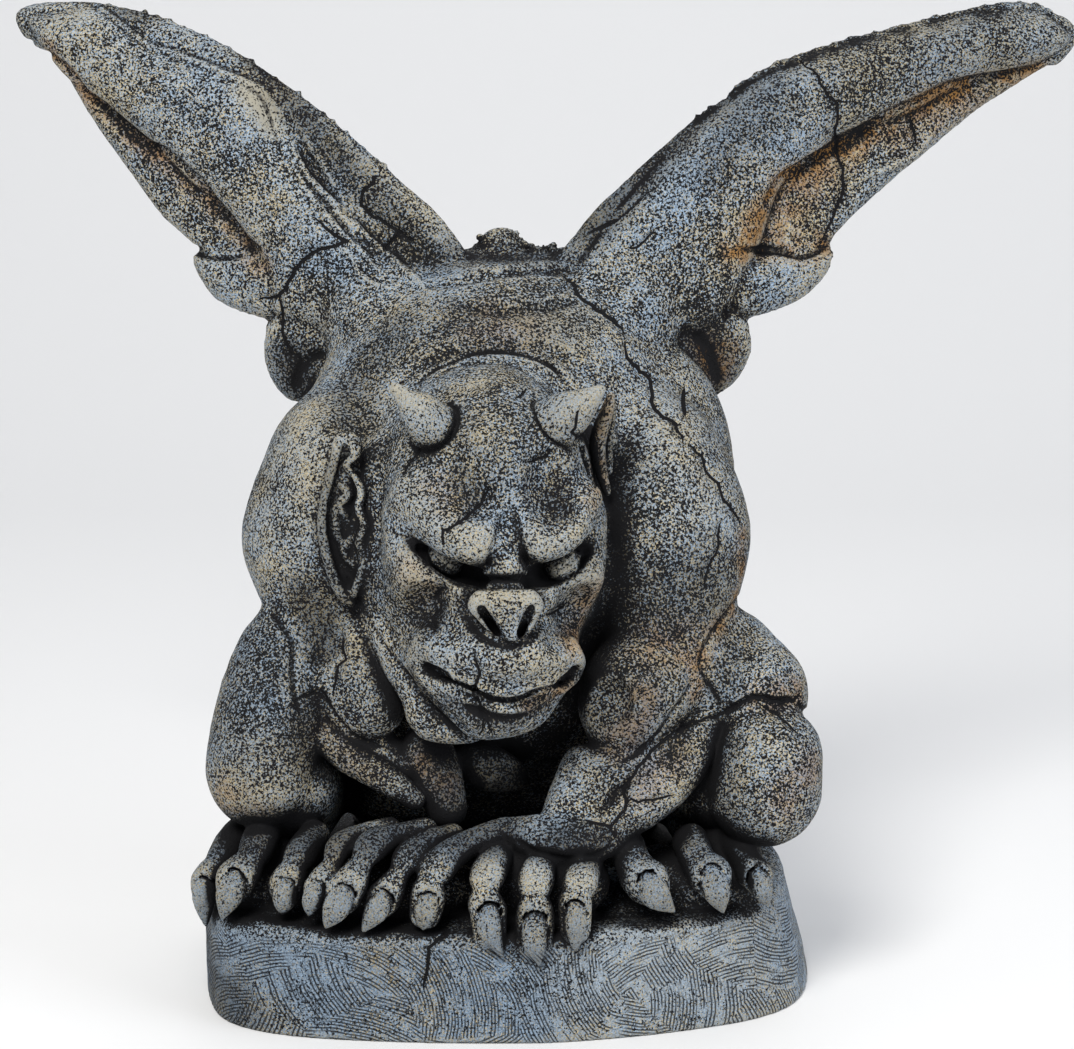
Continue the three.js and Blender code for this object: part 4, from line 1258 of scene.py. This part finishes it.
def makeStone(spec):
    material = bpy.data.materials.new("weathered stone")
    nodes = Nodes(material)
    place = nodes.make("ShaderNodeTexCoord", output="Object")
    hollow, crease, crest, onBlock = (nodes.attribute(name) for name in ("hollow", "crease", "crest", "onBlock"))
    rust, wearAndHighlight, blue, smooth, paintedShade = (nodes.attribute(name) for name in stainsShadeAndHighlight)
    around, combed, crackSide, crackWide = (
        nodes.attribute(name) for name in ("around", "combed", "crackSide", "crackWide"))
    # the dark sand that shows in the pits of the surface; more pits in hollows, creases and under the painted shade
    # darken them as painted shade, and fewer under the painted highlight
    grain = nodes.noise(place, 1000 / spec["pitSpacing"], detail=1.6, roughness=0.55)
    sand = nodes.noise(place, 1000 / spec["sandSpacing"], detail=0.0)
    patches = nodes.noise(place, 26.0, detail=3.0, roughness=0.6)
    mottles = nodes.noise(place, 110.0, detail=2.0, roughness=0.5)
    threshold = 0.39 + patches * 0.30 + mottles * 0.20 - crest * 0.06 + hollow.ramp(0.08, 0.8) * 0.13
    threshold = threshold + crease * 0.04 + paintedShade * 0.05 - wearAndHighlight * 0.08 - smooth * 0.14 - combed * 0.11
    pits = (threshold - grain - sand * 0.35).ramp(-0.09, 0.04)
    # comb marks on the block: in each patch the comb was swung from another side
    height = nodes.make("ShaderNodeSeparateXYZ", None, place, output="Z")
    flat = nodes.make("ShaderNodeCombineXYZ", None, around, height, 0.0)
    cell = nodes.make("ShaderNodeTexVoronoi", {"voronoi_dimensions": "2D"}, Vector=flat, Scale=26.0,
                      Randomness=1.0, output="Color")
    middle = Wire(cell.socket.node.outputs["Position"], nodes)
    side = nodes.vector("MULTIPLY_ADD", cell, (1.0, 1.0, 0.0), (-0.5, -0.5, 0.0))
    elbow = nodes.vector("MULTIPLY", nodes.vector("NORMALIZE", side), (spec["combSweep"],) * 3)
    swing = nodes.vector("SUBTRACT", nodes.vector("SUBTRACT", flat, middle), elbow)
    across = nodes.make("ShaderNodeVectorMath", {"operation": "LENGTH"}, swing, output="Value")
    parts = nodes.make("ShaderNodeSeparateXYZ", None, swing, output="Y")
    along = parts.sum("ARCTAN2", Wire(parts.socket.node.outputs["X"], nodes))
    waver = nodes.noise(flat, 90.0, detail=2.0)
    wave = (across * (2000 * math.pi / spec["combSpacing"]) + waver * 8).sum("SINE")
    strokes = nodes.make("ShaderNodeCombineXYZ", None, across * 260.0, along * (spec["combSweep"] * 60), 0.0)
    drawn = nodes.noise(strokes, 1.0, detail=1.0, roughness=0.5).ramp(0.37, 0.50)
    comb = wave.ramp(-0.15, 0.7) * drawn * combed
    # the crack lines
    inside = nodes.make("ShaderNodeMath", {"operation": "ABSOLUTE"}, crackSide)
    crack = (crackWide * 1.25 - inside).ramp(-0.12, 0.12)
    # colour: single grains are cool or warm, and so are whole patches
    speck = nodes.noise(place, 1000 / spec["speckSpacing"], detail=1.0)
    drift = nodes.noise(place, 34.0, detail=5.0, roughness=0.7)
    hue = speck + drift * 0.5 + blue * 0.07 + onBlock * 0.07 - rust * 0.05
    colour = nodes.mix(hue.ramp(0.64, 0.84), spec["warmGrain"], spec["coolGrain"])
    tone = nodes.noise(place, 1000 / spec["toneSpacing"], detail=1.0).ramp(0.3, 0.7, 0.65, 1.35)
    colour = nodes.mix(1.0, colour, tone, "MULTIPLY")
    stain = nodes.noise(place, 70.0, detail=6.0, roughness=0.8).ramp(0.40, 0.58)
    colour = nodes.mix((rust * stain + rust * 0.15).clamped(), colour, spec["rust"])
    # paler wear on crests, and painted highlight where the highlight marks lie
    colour = nodes.mix((crest * 0.3 + wearAndHighlight * 0.8).clamped(), colour, spec["worn"])
    colour = nodes.mix(pits, colour, spec["dark"])
    colour = nodes.mix((comb * 0.85).clamped(), colour, spec["dark"])
    # painted shade: hollows, creases and the painted-shade marks are darkened towards the dark colour, together with
    # the grime that settles in the hollows; the painted highlight eases it
    paintedShadeAndGrime = hollow.ramp(0.22, 0.9) * 0.88 * (1 - wearAndHighlight * 0.4) + crease.ramp(0.3, 1.0) * 0.6 + paintedShade * 0.68
    colour = nodes.mix(paintedShadeAndGrime.clamped(), colour, spec["dark"])
    colour = nodes.mix(crack, colour, spec["dark"])
    height = 1 - pits * 0.6 - comb * 0.6 - crack
    bump = nodes.make("ShaderNodeBump", None, Strength=0.8, Distance=0.0006, Height=height)
    shader = nodes.make("ShaderNodeBsdfPrincipled", None, **{"Base Color": colour, "Normal": bump})
    shader.socket.node.inputs["Roughness"].default_value = spec["roughness"]
    shader.socket.node.inputs["Specular IOR Level"].default_value = 0.12
    nodes.make("ShaderNodeOutputMaterial", None, shader)
    return material


gargoyle.data.materials.clear()
gargoyle.data.materials.append(makeStone(stone))
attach(gargoyle, "root")
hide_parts("gargoyle_with_block")


print("stage")


backdrop = {"halfWidth": 4.0, "front": -2.2, "bend": 1.1, "radius": 0.9, "height": 3.2}


def makeStage(spec):
    # a sheet of paper that lies flat and then curves up behind the figure
    bm = bmesh.new()
    ends = [bm.verts.new((x, spec["front"], 0)) for x in (-spec["halfWidth"], spec["halfWidth"])]
    edge = bm.edges.new(ends)
    curve = [(spec["bend"], 0.0)]
    for angle in np.linspace(0, math.pi / 2, 13)[1:]:
        curve.append((spec["bend"] + spec["radius"] * math.sin(angle), spec["radius"] * (1 - math.cos(angle))))
    curve.append((spec["bend"] + spec["radius"], spec["height"]))
    for y, z in curve:
        made = bmesh.ops.extrude_edge_only(bm, edges=[edge])["geom"]
        edge = next(part for part in made if isinstance(part, bmesh.types.BMEdge))
        for vert in edge.verts:
            vert.co.y, vert.co.z = y, z
    bmesh.ops.recalc_face_normals(bm, faces=bm.faces)
    for face in bm.faces:
        face.smooth = True
    sweep = bpy.data.meshes.new("backdrop")
    bm.to_mesh(sweep)
    bm.free()
    stand = bpy.data.objects.new("backdrop", sweep)
    bpy.context.scene.collection.objects.link(stand)
    paper = bpy.data.materials.new("pale paper")
    nodes = Nodes(paper)
    shader = nodes.make("ShaderNodeBsdfPrincipled")
    shader.socket.node.inputs["Base Color"].default_value = (0.86, 0.86, 0.86, 1)
    shader.socket.node.inputs["Roughness"].default_value = 0.9
    nodes.make("ShaderNodeOutputMaterial", None, shader)
    sweep.materials.append(paper)


def addLamp(name, at, towards, size, power, colour):
    light = bpy.data.lights.new(name, "AREA")
    light.size, light.energy, light.color = size, power, colour
    lamp = bpy.data.objects.new(name, light)
    lamp.location = at
    lamp.rotation_euler = (Vector(towards) - Vector(at)).to_track_quat("-Z", "Y").to_euler()
    bpy.context.scene.collection.objects.link(lamp)


lamps = {
    "key": {"at": (-0.5, -1.5, 1.7), "towards": (0, 0, 0.2), "size": 0.8, "power": 42, "colour": (1, 0.98, 0.94)},
    "fill": {"at": (1.6, -1.0, 0.8), "towards": (0, 0, 0.2), "size": 1.2, "power": 13, "colour": (0.9, 0.94, 1)},
    "back": {"at": (0.2, 0.9, 2.2), "towards": (0, 0.1, 0.3), "size": 1.6, "power": 10, "colour": (1, 1, 1)},
}


def setWorld():
    world = bpy.data.worlds.new("studio")
    bpy.context.scene.world = world
    world.use_nodes = True
    background = world.node_tree.nodes["Background"]
    background.inputs["Color"].default_value = (0.9, 0.93, 1.0, 1)
    background.inputs["Strength"].default_value = 0.4


def addCamera():
    elevation = math.radians(photo["elevation"])
    target = Vector(photo["target"]) * toMetres
    away = Vector((0, -math.cos(elevation), math.sin(elevation)))
    camera = bpy.data.objects.new("camera", bpy.data.cameras.new("camera"))
    camera.location = target + away * photo["distance"] * toMetres
    camera.rotation_euler = (-away).to_track_quat("-Z", "Y").to_euler()
    frameWidth = photo["width"] * photo["millimetresPerPixel"]
    camera.data.sensor_width = photo["sensor"]
    camera.data.lens = photo["sensor"] * photo["distance"] / frameWidth
    bpy.context.scene.collection.objects.link(camera)
    bpy.context.scene.camera = camera


bpy.context.scene.view_settings.view_transform = "Standard"
makeStage(backdrop)
for name, lamp in lamps.items():
    addLamp(name, **lamp)
setWorld()
addCamera()

print("done")
